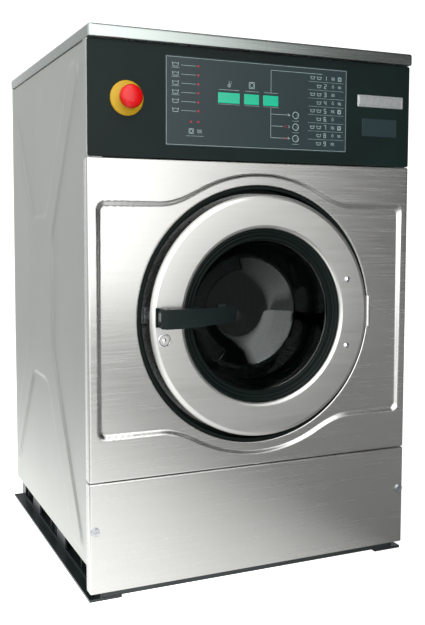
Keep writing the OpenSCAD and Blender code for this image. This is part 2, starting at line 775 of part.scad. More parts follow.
module drain_valve() color([0.25, 0.26, 0.28]) at_front() {
    difference() {
        union() {
            translate([drain_x, drain_y, drain_z]) ycyl(drain_r - 2, cabinet_d + 1 - drain_y);
            translate([drain_x, cabinet_d, drain_z]) ycyl(drain_r, drain_out);
            translate([drain_x, drain_y, drain_z]) cylinder(r = drain_r, h = drain_neck);
            translate([drain_x, drain_y, drain_z]) ycyl(42, 50);
            translate([drain_x - 75, drain_y + 2, drain_z - 25]) cube([60, 40, 50]);
            block([drain_x - 30, drain_y + 10, beam_top], [drain_x + 30, drain_y + 40, drain_z - 30]);
            block([drain_x - 30, strut_y[0] - beam_w / 2, beam_top], [drain_x + 30, drain_y + 40, beam_top + 4]);
        }
        translate([drain_x, drain_y + 20, drain_z]) ycyl(drain_bore, cabinet_d);
        translate([drain_x, drain_y, drain_z + 15]) cylinder(r = drain_bore, h = drain_neck);
    }
}

// A pleated rubber sleeve between two pipes of radius r.
module pleats(r, low, high, folds) {
    step = (high - low) / folds;
    rotate_extrude() polygon(concat(
        [[r + slack, high], [r + slack, low]],
        [for (i = [0:folds - 1], p = [[3, 0], [7, 0.5]]) [r + p[0], low + step * (i + p[1])]],
        [[r + 3, high]]
    ));
}

module drain_bellows() color(rubber) at_front() translate([drain_x, drain_y, 0])
    pleats(drain_r, drain_z + drain_neck - 12, door_z - tub_r - drain_stub + 12, 4);

module fill_hose() color(rubber) at_front() translate([soap_out_x, soap_out_y, 0])
    pleats(16, door_z + tub_r - 12, soap_floor - 4, 7);

module door_catch() color(zinc) at_door() translate([lever_pin_x, 0, lever_z]) difference() {
    block([-18, hook_y - 8, -14], [32, plate_y, 14]);
    block([-15, hook_y - 3.5, -15], [40, plate_y - 3, 15]);
    block([-11.5, hook_y - 9, -15], [40, plate_y - 3, 15]);
}

// ---- drum and drive ----

module drum_shell() color(steel) at_door() translate([0, drum_y, 0]) difference() {
    ycyl(drum_r, drum_depth);
    translate([0, drum_t, 0]) ycyl(drum_r - drum_t, drum_depth - 2 * drum_t);
    translate([0, -overcut, 0]) ycyl(mouth_r + 6, drum_t + 2 * overcut);
}

module drum_lifters() color(steel) at_door() translate([0, drum_y + 22, 0]) for (a = [0:120:240]) rotate([0, a, 0])
    plate_y(drum_depth - 44) intersection() {
        polygon([[-27, drum_r], [-27, drum_r - 10], [-11, drum_r - 46], [11, drum_r - 46],
                 [27, drum_r - 10], [27, drum_r]]);
        circle(drum_r - drum_t - slack);
    }

module drum_shaft() color(zinc) at_door() {
    start = drum_y + drum_depth;
    translate([0, start, 0]) ycyl(shaft_r, shaft_end - start);
    translate([0, start, 0]) ycyl(shaft_r + 18, 8);
    for (a = [30:120:270]) rotate([0, a, 0])
        translate([-16, start, 0]) cube([32, 8, drum_r - 24]);
}

module drum_pulley() color([0.45, 0.46, 0.48]) at_door() translate([0, belt_y - pulley_w / 2, 0]) difference() {
    union() {
        yring(pulley_r, pulley_r - 12, pulley_w);
        yring(pulley_r - 10, shaft_r + 10, 8);
        yring(shaft_r + 20, shaft_r, pulley_w);
    }
    for (a = [0:60:300]) rotate([0, a, 0])
        translate([0, -overcut, pulley_r * 0.6]) ycyl(pulley_r * 0.2, 12);
}

module motor_pulley() color([0.45, 0.46, 0.48]) at_front() translate([motor_x, 0, motor_z]) {
    translate([0, belt_y - pulley_w / 2 - 30, 0]) ycyl(11, pulley_w + 34);
    translate([0, belt_y - pulley_w / 2, 0]) yring(motor_pulley_r, 11, pulley_w);
}

// ---- door ----

glass_rim_r = gasket_in_r + 18;
// Radius of the glass bowl's outer surface where the mouth seal's lip meets it, with room for the lip
glass_lip_r = gasket_in_r - 4.3;

module door_ring() color(steel) at_door() {
    face = -ring_out;
    difference() {
        yturn() polygon([
            [ring_in_r, face + 13], [ring_in_r, face + 5], [ring_in_r + 2, face + 1.5], [ring_in_r + 6, face],
            [ring_r - 7, face], [ring_r - 2, face + 2], [ring_r, face + 6], [ring_r, face + roll + 3],
            [ring_r - ring_t, face + roll + 3], [ring_r - ring_t, face + 6.6], [ring_r - 3, face + 3.4],
            [ring_r - 7.5, face + ring_t], [ring_in_r + 6.5, face + ring_t], [ring_in_r + 3, face + 3],
            [ring_in_r + ring_t, face + 6], [ring_in_r + ring_t, face + 13]
        ]);
        block([lever_pin_x - 7, -ring_out - 2, lever_z - 11], [lever_pin_x + 24, 0, lever_z + 11]);
        for (z = [-bolt_z, bolt_z]) translate([bolt_x, -ring_out - 1, z]) ycyl(3 + slack, 4);
        translate([lock_x, -ring_out - 1, lock_z]) ycyl(9 + slack, 6);
    }
}

module door_frame() color(dark) at_door() difference() {
    union() {
        translate([0, -frame_front, 0]) yring(frame_r, ring_in_r + ring_t + slack, frame_front + frame_back);
        translate([0, -10, 0]) yring(ring_in_r + 7, ring_in_r + ring_t + slack, 12);
        translate([0, frame_back - 4, 0]) yring(ring_in_r + 4, glass_rim_r - 8, 4);
        translate([lock_x, -ring_out + ring_t + slack, lock_z]) ycyl(12, ring_out - 4);
        for (a = [35, 90, 145, 215, 270, 325]) rotate([0, a, 0])
            translate([192, -ring_out + ring_t, 0]) ycyl(5, ring_out - 4);
    }
    block([bolt_x - 16, -12, -bolt_z - 12 - slack], [half_w, -frame_front + 0.2, bolt_z + 12 + slack]);
    block([lever_pin_x - 13, -30, lever_z - 11], [lever_pin_x + 33, 30, lever_z + 11]);
    translate([lock_x, -ring_out, lock_z]) ycyl(9 + slack, ring_out + 6);
}

module glass_gasket() color(rubber) at_door() yturn() polygon([
    [ring_in_r - slack, -ring_out + 7], [ring_in_r - 4, -ring_out + 5], [ring_in_r - 8, -ring_out + 9],
    [ring_in_r - 11, -ring_out + 8], [gasket_in_r + 3, -ring_out + 11], [gasket_in_r, -ring_out + 14],
    [gasket_in_r + 1, -5 - slack], [glass_rim_r + slack, -5 - slack], [glass_rim_r + slack, 1 + slack],
    [gasket_in_r + 8, 1 + slack], [gasket_in_r + 8, frame_back - 4 - slack], [ring_in_r - slack, frame_back - 4 - slack]
]);

module door_glass() color([0.55, 0.65, 0.65, 0.4]) at_door() yturn() {
    knee = bowl_depth - 26;
    step = 38;
    cone = gasket_in_r - 14.5;
    polygon([
        [glass_rim_r, -5], [gasket_in_r - 1, -5], [cone, step], [cone - 16, knee], [cone - 36, bowl_depth - 13],
        [cone - 70, bowl_depth - 4], [0, bowl_depth], [0, bowl_depth + glass_t],
        [cone - 68, bowl_depth + glass_t - 4], [cone - 32, bowl_depth + glass_t - 13.5],
        [cone - 16 + glass_t, knee + 4], [cone + glass_t, step + 1], [gasket_in_r + 4, 1], [glass_rim_r, 1]
    ]);
}

module hinge_arm() color(dark) at_door() difference() {
    union() {
        block([bolt_x - 12, -10, -bolt_z - 12], [bolt_x + 14, -frame_front, bolt_z + 12]);
        block([bolt_x, -10, -knuckle_h / 2], [hinge_x, -5, knuckle_h / 2]);
        translate([hinge_x, hinge_y, -knuckle_h / 2]) cylinder(r = knuckle_r, h = knuckle_h);
    }
    block([hinge_x - knuckle_r - 1, -30, -tongue_h / 2 - slack], [half_w, 30, tongue_h / 2 + slack]);
    translate([hinge_x, hinge_y, -50]) cylinder(r = hinge_pin_r, h = 100);
    for (z = [-bolt_z, bolt_z]) translate([bolt_x, -11, z]) ycyl(3, 12);
}

module hinge_bracket() color(dark) at_door() difference() {
    union() {
        translate([hinge_x, hinge_y, -tongue_h / 2]) cylinder(r = knuckle_r, h = tongue_h);
        block([hinge_x - 3, hinge_y, -tongue_h / 2], [hinge_x + 3, plate_y, tongue_h / 2]);
        block([hinge_x - 30, plate_y - 5, -40], [hinge_x + 20, plate_y, 40]);
    }
    translate([hinge_x, hinge_y, -50]) cylinder(r = hinge_pin_r + running, h = 100);
}

module hinge_pin() at_door() translate([hinge_x, hinge_y, -knuckle_h / 2 - 1])
    cylinder(r = hinge_pin_r, h = knuckle_h + 2);

module hinge_bolts() color(zinc) at_door() for (z = [-bolt_z, bolt_z]) translate([bolt_x, -ring_out, z]) {
    yturn() polygon([[0, -3.6], [2.5, -3.4], [4.8, -2], [5.6, 0], [3, 0], [3, ring_out - frame_front], [0, ring_out - frame_front]]);
}

module lock_barrel() color(zinc) at_door() translate([lock_x, -ring_out, lock_z]) yturn()
    polygon([[0, 1], [3.5, -0.2], [5.5, 1.6], [7.5, 0.4], [9, -1.6], [11.5, -1.4], [12, 0], [9, 0],
             [9, ring_out - 6], [0, ring_out - 6]]);

module handle_bracket() color(dark) at_door() translate([lever_pin_x, 0, lever_z]) difference() {
    union() {
        for (z = [-lever_h / 2, lever_h / 2 - 5]) {
            translate([0, lever_pin_y, z]) cylinder(r = 8, h = 5);
            block([-8, lever_pin_y, z], [8, -ring_out, z + 5]);
        }
        block([-12, -ring_out - 4, -lever_h / 2], [-8, -ring_out, lever_h / 2]);
    }
    translate([0, lever_pin_y, -40]) cylinder(r = lever_pin_r, h = 80);
}

module handle_pin() at_door() translate([lever_pin_x, lever_pin_y, lever_z - lever_h / 2])
    cylinder(r = lever_pin_r, h = lever_h);

module door_pins() color(zinc) {
    hinge_pin();
    handle_pin();
}

module handle_lever() color(dark) at_door() translate([lever_pin_x, 0, lever_z]) difference() {
    hub_h = lever_h - 10 - 2 * slack;
    union() {
        translate([0, 0, -hub_h / 2]) linear_extrude(hub_h)
            polygon([[-10, -52], [16, -52], [9, -32], [-6, -32]]);
        translate([0, 0, -lever_h / 2]) linear_extrude(lever_h) polygon([
            [-12, -50], [-12, -54], [-7, -62], [82, -61], [128, -51], [133, -46], [130, -40], [124, -39],
            [82, -49]
        ]);
        block([96, -48, 0], [112, -41, lever_h / 2 + 5]);
    }
    translate([0, -20, 0]) rotate([90, 0, 0]) linear_extrude(60)
        polygon([[24, -lever_h / 2 - 1], [140, -lever_h / 2 - 1], [140, -lever_h / 2 + 9], [24, -lever_h / 2]]);
    translate([0, lever_pin_y, -40]) cylinder(r = lever_pin_r + running, h = 80);
}

module latch_hook() color(zinc) at_door() translate([lever_pin_x, 0, lever_z - 8]) linear_extrude(16) polygon([
    [-3, -31.7], [5, -31.7], [5, hook_y + 1], [-4, hook_y + 1], [-9, hook_y - 2], [-3, hook_y - 3]
]);

base_side_rails();
base_cross_beams();
cabinet_frame();
side_panel_left();
side_panel_right();
front_panel();
door_gap_seal();
lower_panel();
rear_panel();
panel_fasteners();
top_lid();
soap_box();
soap_lid();
control_housing();
control_fascia();
control_overlay();
display_windows();
key_select();
key_start();
key_eco();
estop_plate();
estop_stem();
estop_head();
estop_contact_block();
control_board();
drive_unit();
water_valves();
cable_gland();
tub_shell();
tub_front_plate();
tub_mouth_seal();
bearing_housing();
bearings();
tub_cradle();
damper_cylinders();
damper_rods();
suspension_springs();
motor_body();
drive_belt();
drain_valve();
drain_bellows();
fill_hose();
door_catch();
drum_shell();
drum_lifters();
drum_shaft();
drum_pulley();
motor_pulley();
door_ring();
door_frame();
door_glass();
glass_gasket();
hinge_arm();
hinge_bracket();
door_pins();
hinge_bolts();
lock_barrel();
handle_bracket();
handle_lever();
latch_hook();
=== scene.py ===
"""Looks for a commercial front-loading washer extractor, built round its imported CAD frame.

Lengths in the classes are millimetres. Across is x, height is z, and depth is counted from the plane of the
cabinet's front face towards the back; `metres` turns such points into the frame's own metres.
"""

import sys
import logging
import math
from dataclasses import dataclass, field
from enum import Enum

import bmesh
import bpy
import numpy as np
from mathutils import Matrix, Vector


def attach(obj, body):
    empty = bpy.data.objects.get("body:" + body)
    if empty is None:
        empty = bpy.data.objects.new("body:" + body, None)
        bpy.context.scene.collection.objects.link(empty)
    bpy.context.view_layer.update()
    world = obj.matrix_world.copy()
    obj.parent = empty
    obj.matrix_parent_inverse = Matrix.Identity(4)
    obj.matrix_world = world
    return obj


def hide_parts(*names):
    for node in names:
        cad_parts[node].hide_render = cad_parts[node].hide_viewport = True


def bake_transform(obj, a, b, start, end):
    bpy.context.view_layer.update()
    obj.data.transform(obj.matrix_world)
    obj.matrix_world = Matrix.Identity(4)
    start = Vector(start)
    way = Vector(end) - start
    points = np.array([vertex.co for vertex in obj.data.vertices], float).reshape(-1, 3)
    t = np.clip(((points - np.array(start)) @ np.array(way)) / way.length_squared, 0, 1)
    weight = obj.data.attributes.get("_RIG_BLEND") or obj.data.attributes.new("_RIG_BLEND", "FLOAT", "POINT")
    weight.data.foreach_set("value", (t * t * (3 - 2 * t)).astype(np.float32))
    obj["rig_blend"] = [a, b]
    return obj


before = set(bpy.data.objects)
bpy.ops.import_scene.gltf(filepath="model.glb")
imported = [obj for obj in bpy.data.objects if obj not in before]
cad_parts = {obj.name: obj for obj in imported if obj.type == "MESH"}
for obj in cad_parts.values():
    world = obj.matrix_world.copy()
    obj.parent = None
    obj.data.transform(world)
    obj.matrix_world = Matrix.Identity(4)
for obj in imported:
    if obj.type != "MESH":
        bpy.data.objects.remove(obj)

LOG = logging.getLogger("washer_extractor")
FRONT_Y = -320.0
DOOR_Z = 496.75
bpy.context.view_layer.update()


# ---------------------------------------------------------------- colours and nodes


def linear(code: str, alpha: float = 1.0) -> tuple[float, float, float, float]:
    """Turns an sRGB hex colour into linear RGBA.

    Args:
        code: Six hex digits, with or without a hash.
        alpha: The fourth value.

    Returns:
        Four floats for a colour socket.
    """
    digits = code.lstrip("#")
    parts = np.array([int(digits[i:i + 2], 16) for i in (0, 2, 4)]) / 255.0
    flat = np.where(parts <= 0.04045, parts / 12.92, ((parts + 0.055) / 1.055) ** 2.4)
    return (float(flat[0]), float(flat[1]), float(flat[2]), alpha)


def add(tree: bpy.types.NodeTree, kind: str, settings: dict | None = None, links: dict | None = None) -> bpy.types.Node:
    """Adds a node with its settings and links.

    Args:
        tree: The node tree that takes it.
        kind: The node's type name without the ShaderNode prefix.
        settings: Socket values and node properties; an int or a socket's name is a socket.
        links: Input socket to the output socket that feeds it.

    Returns:
        The new node.
    """
    node = tree.nodes.new("ShaderNode" + kind)
    for key, value in (settings or {}).items():
        if isinstance(key, int) or key in node.inputs:
            node.inputs[key].default_value = value
        else:
            setattr(node, key, value)
    for key, source in (links or {}).items():
        tree.links.new(source, node.inputs[key])
    return node


def mottle(tree: bpy.types.NodeTree, coords: bpy.types.NodeSocket, scale: tuple[float, float, float],
           detail: float = 3.0) -> bpy.types.NodeSocket:
    """Noise whose cells measure 1 / scale along each axis.

    Args:
        tree: The node tree.
        coords: Coordinates in metres.
        scale: Cells per metre along x, y and z.
        detail: Octaves of noise.

    Returns:
        The noise's factor output.
    """
    turned = add(tree, "Mapping", {"Scale": scale}, {"Vector": coords})
    noise = add(tree, "TexNoise", {"Scale": 1.0, "Detail": detail, "Roughness": 0.55},
                {"Vector": turned.outputs["Vector"]})
    return noise.outputs["Fac"]


def spread(tree: bpy.types.NodeTree, source: bpy.types.NodeSocket, low: float, high: float,
           start: float = 0.3, stop: float = 0.7) -> bpy.types.NodeSocket:
    """Maps start to stop of a factor onto low to high and clamps it there."""
    node = add(tree, "MapRange", {"From Min": start, "From Max": stop, "To Min": low, "To Max": high},
               {"Value": source})
    return node.outputs["Result"]


def between(tree: bpy.types.NodeTree, factor: bpy.types.NodeSocket, one: str, two: str) -> bpy.types.NodeSocket:
    """Mixes two sRGB hex colours by a factor."""
    node = add(tree, "Mix", {"data_type": "RGBA", 6: linear(one), 7: linear(two)}, {0: factor})
    return node.outputs[2]


def bump(tree: bpy.types.NodeTree, height: bpy.types.NodeSocket, distance_mm: float,
         strength: float = 1.0) -> bpy.types.NodeSocket:
    """A bump of the given depth in millimetres."""
    node = add(tree, "Bump", {"Strength": strength, "Distance": distance_mm * 0.001}, {"Height": height})
    return node.outputs["Normal"]


# ---------------------------------------------------------------- finishes


@dataclass(frozen=True)
class Finish:
    """A surface finish: builds one Blender material and keeps it.

    Attributes:
        name: The material's name.
        slot: The record's material slot that it stands for; not used.
    """

    name: str
    slot: str

    def shader(self, tree: bpy.types.NodeTree, coords: bpy.types.NodeSocket, shade: bpy.types.Node) -> None:
        """Sets the shader's values and textures; each kind of finish has its own."""
        raise NotImplementedError

    def material(self) -> bpy.types.Material:
        """The finish's material, made the first time it is asked for."""
        known = bpy.data.materials.get(self.name)
        if known is not None:
            return known
        made = bpy.data.materials.new(self.name)
        made.use_nodes = True
        tree = made.node_tree
        tree.nodes.clear()
        coords = add(tree, "TexCoord").outputs["Object"]
        shade = add(tree, "BsdfPrincipled")
        add(tree, "OutputMaterial", None, {"Surface": shade.outputs["BSDF"]})
        self.shader(tree, coords, shade)
        return made


class Grain(Enum):
    """Which way the brush went over a sheet: cells per metre along x, y and z."""

    ACROSS = (9.0, 420.0, 420.0)
    ALONG_DEPTH = (420.0, 9.0, 420.0)
    UPRIGHT = (420.0, 420.0, 9.0)


@dataclass(frozen=True)
class BrushedSteel(Finish):
    """Stainless sheet, belt-brushed one way: long soft streaks that stretch highlights across the grain."""

    light: str = "d2d2cf"
    deep: str = "c6c6c2"
    rough: tuple[float, float] = (0.23, 0.28)
    grain: Grain = Grain.ACROSS
    streak_mm: float = 0.0015

    def shader(self, tree: bpy.types.NodeTree, coords: bpy.types.NodeSocket, shade: bpy.types.Node) -> None:
        """Streaks drawn 2.4 mm wide, as real ones of 0.1 mm would not show; a faint cloud of handling marks.

        Args:
            tree: The material's node tree.
            coords: Object coordinates.
            shade: The shader to set up.
        """
        streak = mottle(tree, coords, self.grain.value, 4.0)
        cloud = mottle(tree, coords, (5.0, 5.0, 5.0), 2.0)
        mix = add(tree, "Math", {"operation": "MULTIPLY_ADD", 1: 0.65}, {0: streak, 2: spread(tree, cloud, 0.05, 0.3)})
        tree.links.new(between(tree, mix.outputs[0], self.deep, self.light), shade.inputs["Base Color"])
        tree.links.new(spread(tree, streak, *self.rough), shade.inputs["Roughness"])
        tree.links.new(bump(tree, streak, self.streak_mm, 0.5), shade.inputs["Normal"])
        shade.inputs["Metallic"].default_value = 1.0
        shade.inputs["Anisotropic"].default_value = 0.35


@dataclass(frozen=True)
class PlatedSteel(Finish):
    """Zinc or chrome plate on steel: bright, with faint clouding."""

    light: str = "c9cbce"
    deep: str = "a4a8ad"
    rough: tuple[float, float] = (0.22, 0.38)
    cloud_mm: float = 7.0

    def shader(self, tree: bpy.types.NodeTree, coords: bpy.types.NodeSocket, shade: bpy.types.Node) -> None:
        """Spangle of the given size in colour and gloss, and a fine bump.

        Args:
            tree: The material's node tree.
            coords: Object coordinates.
            shade: The shader to set up.
        """
        cell = 1000.0 / self.cloud_mm
        cloud = mottle(tree, coords, (cell, cell, cell), 3.0)
        tree.links.new(between(tree, spread(tree, cloud, 0.0, 1.0), self.deep, self.light), shade.inputs["Base Color"])
        tree.links.new(spread(tree, cloud, self.rough[1], self.rough[0]), shade.inputs["Roughness"])
        tree.links.new(bump(tree, cloud, 0.02, 0.3), shade.inputs["Normal"])
        shade.inputs["Metallic"].default_value = 1.0


@dataclass(frozen=True)
class Coating(Finish):
    """Paint, moulded plastic or rubber: a coloured skin with an even grain of the given size.

    Attributes:
        base: The skin's colour.
        worn: The colour of its lighter flecks.
        rough: Roughness in the hollows and on the peaks.
        grain_mm: Distance from one grain to the next.
        grain_depth_mm: Height of the grain.
        coat: Weight of a clear coat.
        speck: How much fine speckle shows in the colour.
        glow: Light of its own.
        shine: Level of the plain reflection; 0.5 is that of most plastics.
    """

    base: str = "202325"
    worn: str = "2c3032"
    rough: tuple[float, float] = (0.4, 0.55)
    grain_mm: float = 2.0
    grain_depth_mm: float = 0.05
    coat: float = 0.0
    speck: float = 1.0
    glow: float = 0.0
    shine: float = 0.5

    def shader(self, tree: bpy.types.NodeTree, coords: bpy.types.NodeSocket, shade: bpy.types.Node) -> None:
        """Grain in bump and roughness, and a slow drift of colour over a hand's breadth.

        Args:
            tree: The material's node tree.
            coords: Object coordinates.
            shade: The shader to set up.
        """
        cell = 1000.0 / self.grain_mm
        grain = mottle(tree, coords, (cell, cell, cell), 2.0)
        drift = mottle(tree, coords, (11.0, 11.0, 11.0), 3.0)
        mix = add(tree, "Math", {"operation": "MULTIPLY_ADD", 1: self.speck},
                  {0: spread(tree, grain, 0.0, 0.5, 0.45, 0.7), 2: spread(tree, drift, 0.0, 0.45)})
        colour = between(tree, mix.outputs[0], self.base, self.worn)
        tree.links.new(colour, shade.inputs["Base Color"])
        tree.links.new(spread(tree, grain, *self.rough), shade.inputs["Roughness"])
        tree.links.new(bump(tree, grain, self.grain_depth_mm, 0.6), shade.inputs["Normal"])
        shade.inputs["Coat Weight"].default_value = self.coat
        shade.inputs["Specular IOR Level"].default_value = self.shine
        shade.inputs["Coat Roughness"].default_value = 0.12
        if self.glow > 0.0:
            tree.links.new(colour, shade.inputs["Emission Color"])
            shade.inputs["Emission Strength"].default_value = self.glow


@dataclass(frozen=True)
class ClearGlass(Finish):
    """Pressed soda-lime glass with long waves from the mould; its dark green tint is partly the glass's own green cast
    and partly painted shade of the dark drum behind it.
    """

    def shader(self, tree: bpy.types.NodeTree, coords: bpy.types.NodeSocket, shade: bpy.types.Node) -> None:
        """Full transmission through a dark green tint, partly the glass's cast and partly painted shade of the drum
        behind, with waves about 60 mm long that bend reflections slightly.

        Args:
            tree: The material's node tree.
            coords: Object coordinates.
            shade: The shader to set up.
        """
        wave = mottle(tree, coords, (16.0, 16.0, 16.0), 1.0)
        tree.links.new(bump(tree, wave, 0.08, 0.3), shade.inputs["Normal"])
        tree.links.new(spread(tree, wave, 0.02, 0.05), shade.inputs["Roughness"])
        # Dark tint: partly the glass's green cast, partly painted shade that hides the drum's inside.
        tree.links.new(between(tree, wave, "345f59", "3a655f"), shade.inputs["Base Color"])
        shade.inputs["IOR"].default_value = 1.5
        shade.inputs["Transmission Weight"].default_value = 1.0


@dataclass(frozen=True)
class PerforatedSteel(BrushedSteel):
    """Drum sheet: stainless with rows of 5 mm drain holes, 16 mm apart, drawn by the piece's own UV map; the holes are
    painted near black as the shade seen through them.

    The UV map is in metres: u runs round the drum and v along it.
    """

    hole_mm: float = 5.0
    pitch_mm: float = 16.0

    def shader(self, tree: bpy.types.NodeTree, coords: bpy.types.NodeSocket, shade: bpy.types.Node) -> None:
        """Each hole is where the distance to the nearest grid point is under the hole's radius.

        Args:
            tree: The material's node tree.
            coords: Object coordinates.
            shade: The shader to set up.
        """
        super().shader(tree, coords, shade)
        cell = 1000.0 / self.pitch_mm
        around = add(tree, "TexCoord").outputs["UV"]
        scaled = add(tree, "VectorMath", {"operation": "SCALE", "Scale": cell}, {0: around})
        part = add(tree, "VectorMath", {"operation": "FRACTION"}, {0: scaled.outputs["Vector"]})
        offset = add(tree, "VectorMath", {"operation": "SUBTRACT", 1: (0.5, 0.5, 0.0)}, {0: part.outputs["Vector"]})
        reach = add(tree, "VectorMath", {"operation": "LENGTH"}, {0: offset.outputs["Vector"]})
        edge = self.hole_mm / self.pitch_mm / 2.0
        plain = spread(tree, reach.outputs["Value"], 0.0, 1.0, edge * 0.85, edge * 1.15)
        dished = spread(tree, reach.outputs["Value"], 0.0, 1.0, edge, edge * 1.9)
        # Holes are drawn near black and not metallic: painted shade of the dark tub behind them.
        sheet_and_shaded_holes = add(tree, "Mix", {"data_type": "RGBA", 6: linear("050606"), 7: linear(self.light)}, {0: plain})
        tree.links.new(sheet_and_shaded_holes.outputs[2], shade.inputs["Base Color"])
        tree.links.new(plain, shade.inputs["Metallic"])
        tree.links.new(bump(tree, dished, 1.2, 0.8), shade.inputs["Normal"])


FRONT_STEEL = BrushedSteel("stainless_brushed_front", "stainless_brushed")
# Painted shade: the lid is the front's brushed stainless, drawn darker because less light falls on the lid.
SHADED_LID_STEEL = BrushedSteel("stainless_brushed_lid_shaded", "stainless_brushed", light="adb5b1", deep="9ca3a0")
DOOR_STEEL = BrushedSteel("stainless_satin_door", "stainless_brushed", light="d6d6d3", deep="c6c6c2", rough=(0.3, 0.37))
# Side steel: its rougher pressed finish is its own; its colour, darker than the front's, is painted shade of sides
# turned from the light. Rear panel and control housing use it too.
SHADED_SIDE_STEEL = BrushedSteel("stainless_pressed_side_shaded", "stainless_pressed", light="babdb8", deep="acafaa",
                          rough=(0.36, 0.46), grain=Grain.UPRIGHT)
TUB_STEEL = BrushedSteel("stainless_rolled_tub", "stainless_pressed", light="b5b7b6", deep="9b9d9c",
                         rough=(0.24, 0.36), grain=Grain.ALONG_DEPTH)
# Painted shade: the drum's steel is drawn darker than the tub's to stand for the dark inside of the tub.
DRUM_STEEL = PerforatedSteel("stainless_perforated_drum", "stainless_pressed", light="7f8584", deep="6c7271",
                             rough=(0.48, 0.58))
ZINC = PlatedSteel("zinc_plated_steel", "zinc_plated")
CHROME = PlatedSteel("chrome_plated_steel", "chrome_plated", light="e6e6e8", deep="cfd0d3", rough=(0.06, 0.14),
                     cloud_mm=12.0)
ALUMINIUM = PlatedSteel("cast_aluminium_machined", "aluminium_cast", light="c2c4c6", deep="9fa2a5",
                        rough=(0.3, 0.45), cloud_mm=3.0)
BRASS = PlatedSteel("machined_brass", "brass_fitting", light="c9a961", deep="a8853f", rough=(0.24, 0.36),
                    cloud_mm=4.0)
IRON = Coating("cast_iron_painted", "cast_iron", base="34383b", worn="4a4e50", rough=(0.45, 0.62), grain_mm=3.0,
               grain_depth_mm=0.35)
BASE_PAINT = Coating("powder_coat_black", "black_paint", base="0b1416", worn="1c2728", rough=(0.32, 0.46),
                     grain_mm=2.2, grain_depth_mm=0.12, coat=0.15)
MOTOR_PAINT = Coating("machine_enamel_grey", "grey_paint", base="5b6168", worn="727a80", rough=(0.34, 0.48),
                      grain_mm=4.0, grain_depth_mm=0.15, coat=0.2)
FASCIA_PAINT = Coating("fine_texture_enamel_dark", "control_paint", base="000d0a", worn="031c19", rough=(0.36, 0.5),
                       grain_mm=2.6, grain_depth_mm=0.14, speck=1.0, shine=0.2)
OVERLAY_FILM = Coating("printed_polyester_film", "overlay_film", base="0a2024", worn="10282c", rough=(0.34, 0.4),
                       grain_mm=3.0, grain_depth_mm=0.01, speck=0.3)
# glow=0.12 paints a faint even glow into the display windows; no lamp lights them.
DISPLAY = Coating("tinted_acrylic_green", "display_plastic", base="029b77", worn="08a583", rough=(0.1, 0.16),
                  grain_mm=9.0, grain_depth_mm=0.01, coat=0.6, speck=0.2, glow=0.12)
KEY_PLASTIC = Coating("moulded_abs_dark", "key_plastic", base="0d2226", worn="173136", rough=(0.34, 0.44),
                      grain_mm=1.5, grain_depth_mm=0.02, speck=0.3)
RED_PLASTIC = Coating("moulded_polyamide_red", "red_plastic", base="c00308", worn="cc0c10", rough=(0.26, 0.34),
                      grain_mm=5.0, grain_depth_mm=0.02, coat=0.15, speck=0.2, shine=0.3)
YELLOW_PLASTIC = Coating("moulded_polyamide_yellow", "yellow_plastic", base="a98400", worn="cfa80a",
                         rough=(0.36, 0.46), grain_mm=4.0, grain_depth_mm=0.02, speck=0.2, shine=0.35)
HANDLE_PLASTIC = Coating("moulded_glass_filled_nylon_black", "black_plastic", base="020c0c", worn="071b1a",
                         rough=(0.36, 0.5), grain_mm=1.9, grain_depth_mm=0.08, shine=0.26)
GREY_PLASTIC = Coating("moulded_polypropylene_grey", "grey_plastic", base="7d8286", worn="8b9094",
                       rough=(0.4, 0.5), grain_mm=2.5, grain_depth_mm=0.04, speck=0.4)
BLACK_RUBBER = Coating("moulded_epdm_black", "black_rubber", base="010908", worn="04140f", rough=(0.42, 0.58),
                       grain_mm=3.2, grain_depth_mm=0.06, speck=0.5, shine=0.14)
GREY_RUBBER = Coating("moulded_epdm_grey", "grey_rubber", base="3a3d3f", worn="4a4e50", rough=(0.5, 0.62),
                      grain_mm=3.0, grain_depth_mm=0.06, speck=0.5)
LAMINATE = Coating("glass_epoxy_laminate", "board_green", base="0c5a2a", worn="14683a", rough=(0.3, 0.45),
                   grain_mm=2.0, grain_depth_mm=0.03)
PRINT_WHITE = Coating("screen_print_grey_white", "overlay_film", base="8fa3a3", worn="a5b7b6", rough=(0.4, 0.5),
                      grain_mm=1.2, grain_depth_mm=0.005, speck=0.5)
# glow=0.05 paints a faint glow into the indicator lenses; no lamp lights them.
PRINT_RED = Coating("indicator_lens_red", "red_plastic", base="8a1420", worn="a01c28", rough=(0.2, 0.3),
                    grain_mm=2.0, grain_depth_mm=0.005, speck=0.2, glow=0.05)
PLATE_SATIN = PlatedSteel("name_plate_satin_aluminium", "aluminium_cast", light="c9cccc", deep="b3b7b8",
                          rough=(0.34, 0.44), cloud_mm=6.0)
GLASS = ClearGlass("pressed_soda_lime_glass", "clear_glass")


# ---------------------------------------------------------------- meshes


def metres(points: np.ndarray) -> np.ndarray:
    """Points of x, depth and z in millimetres, as metres in the frame."""
    return (np.asarray(points, float) + np.array([0.0, FRONT_Y, 0.0])) * 0.001


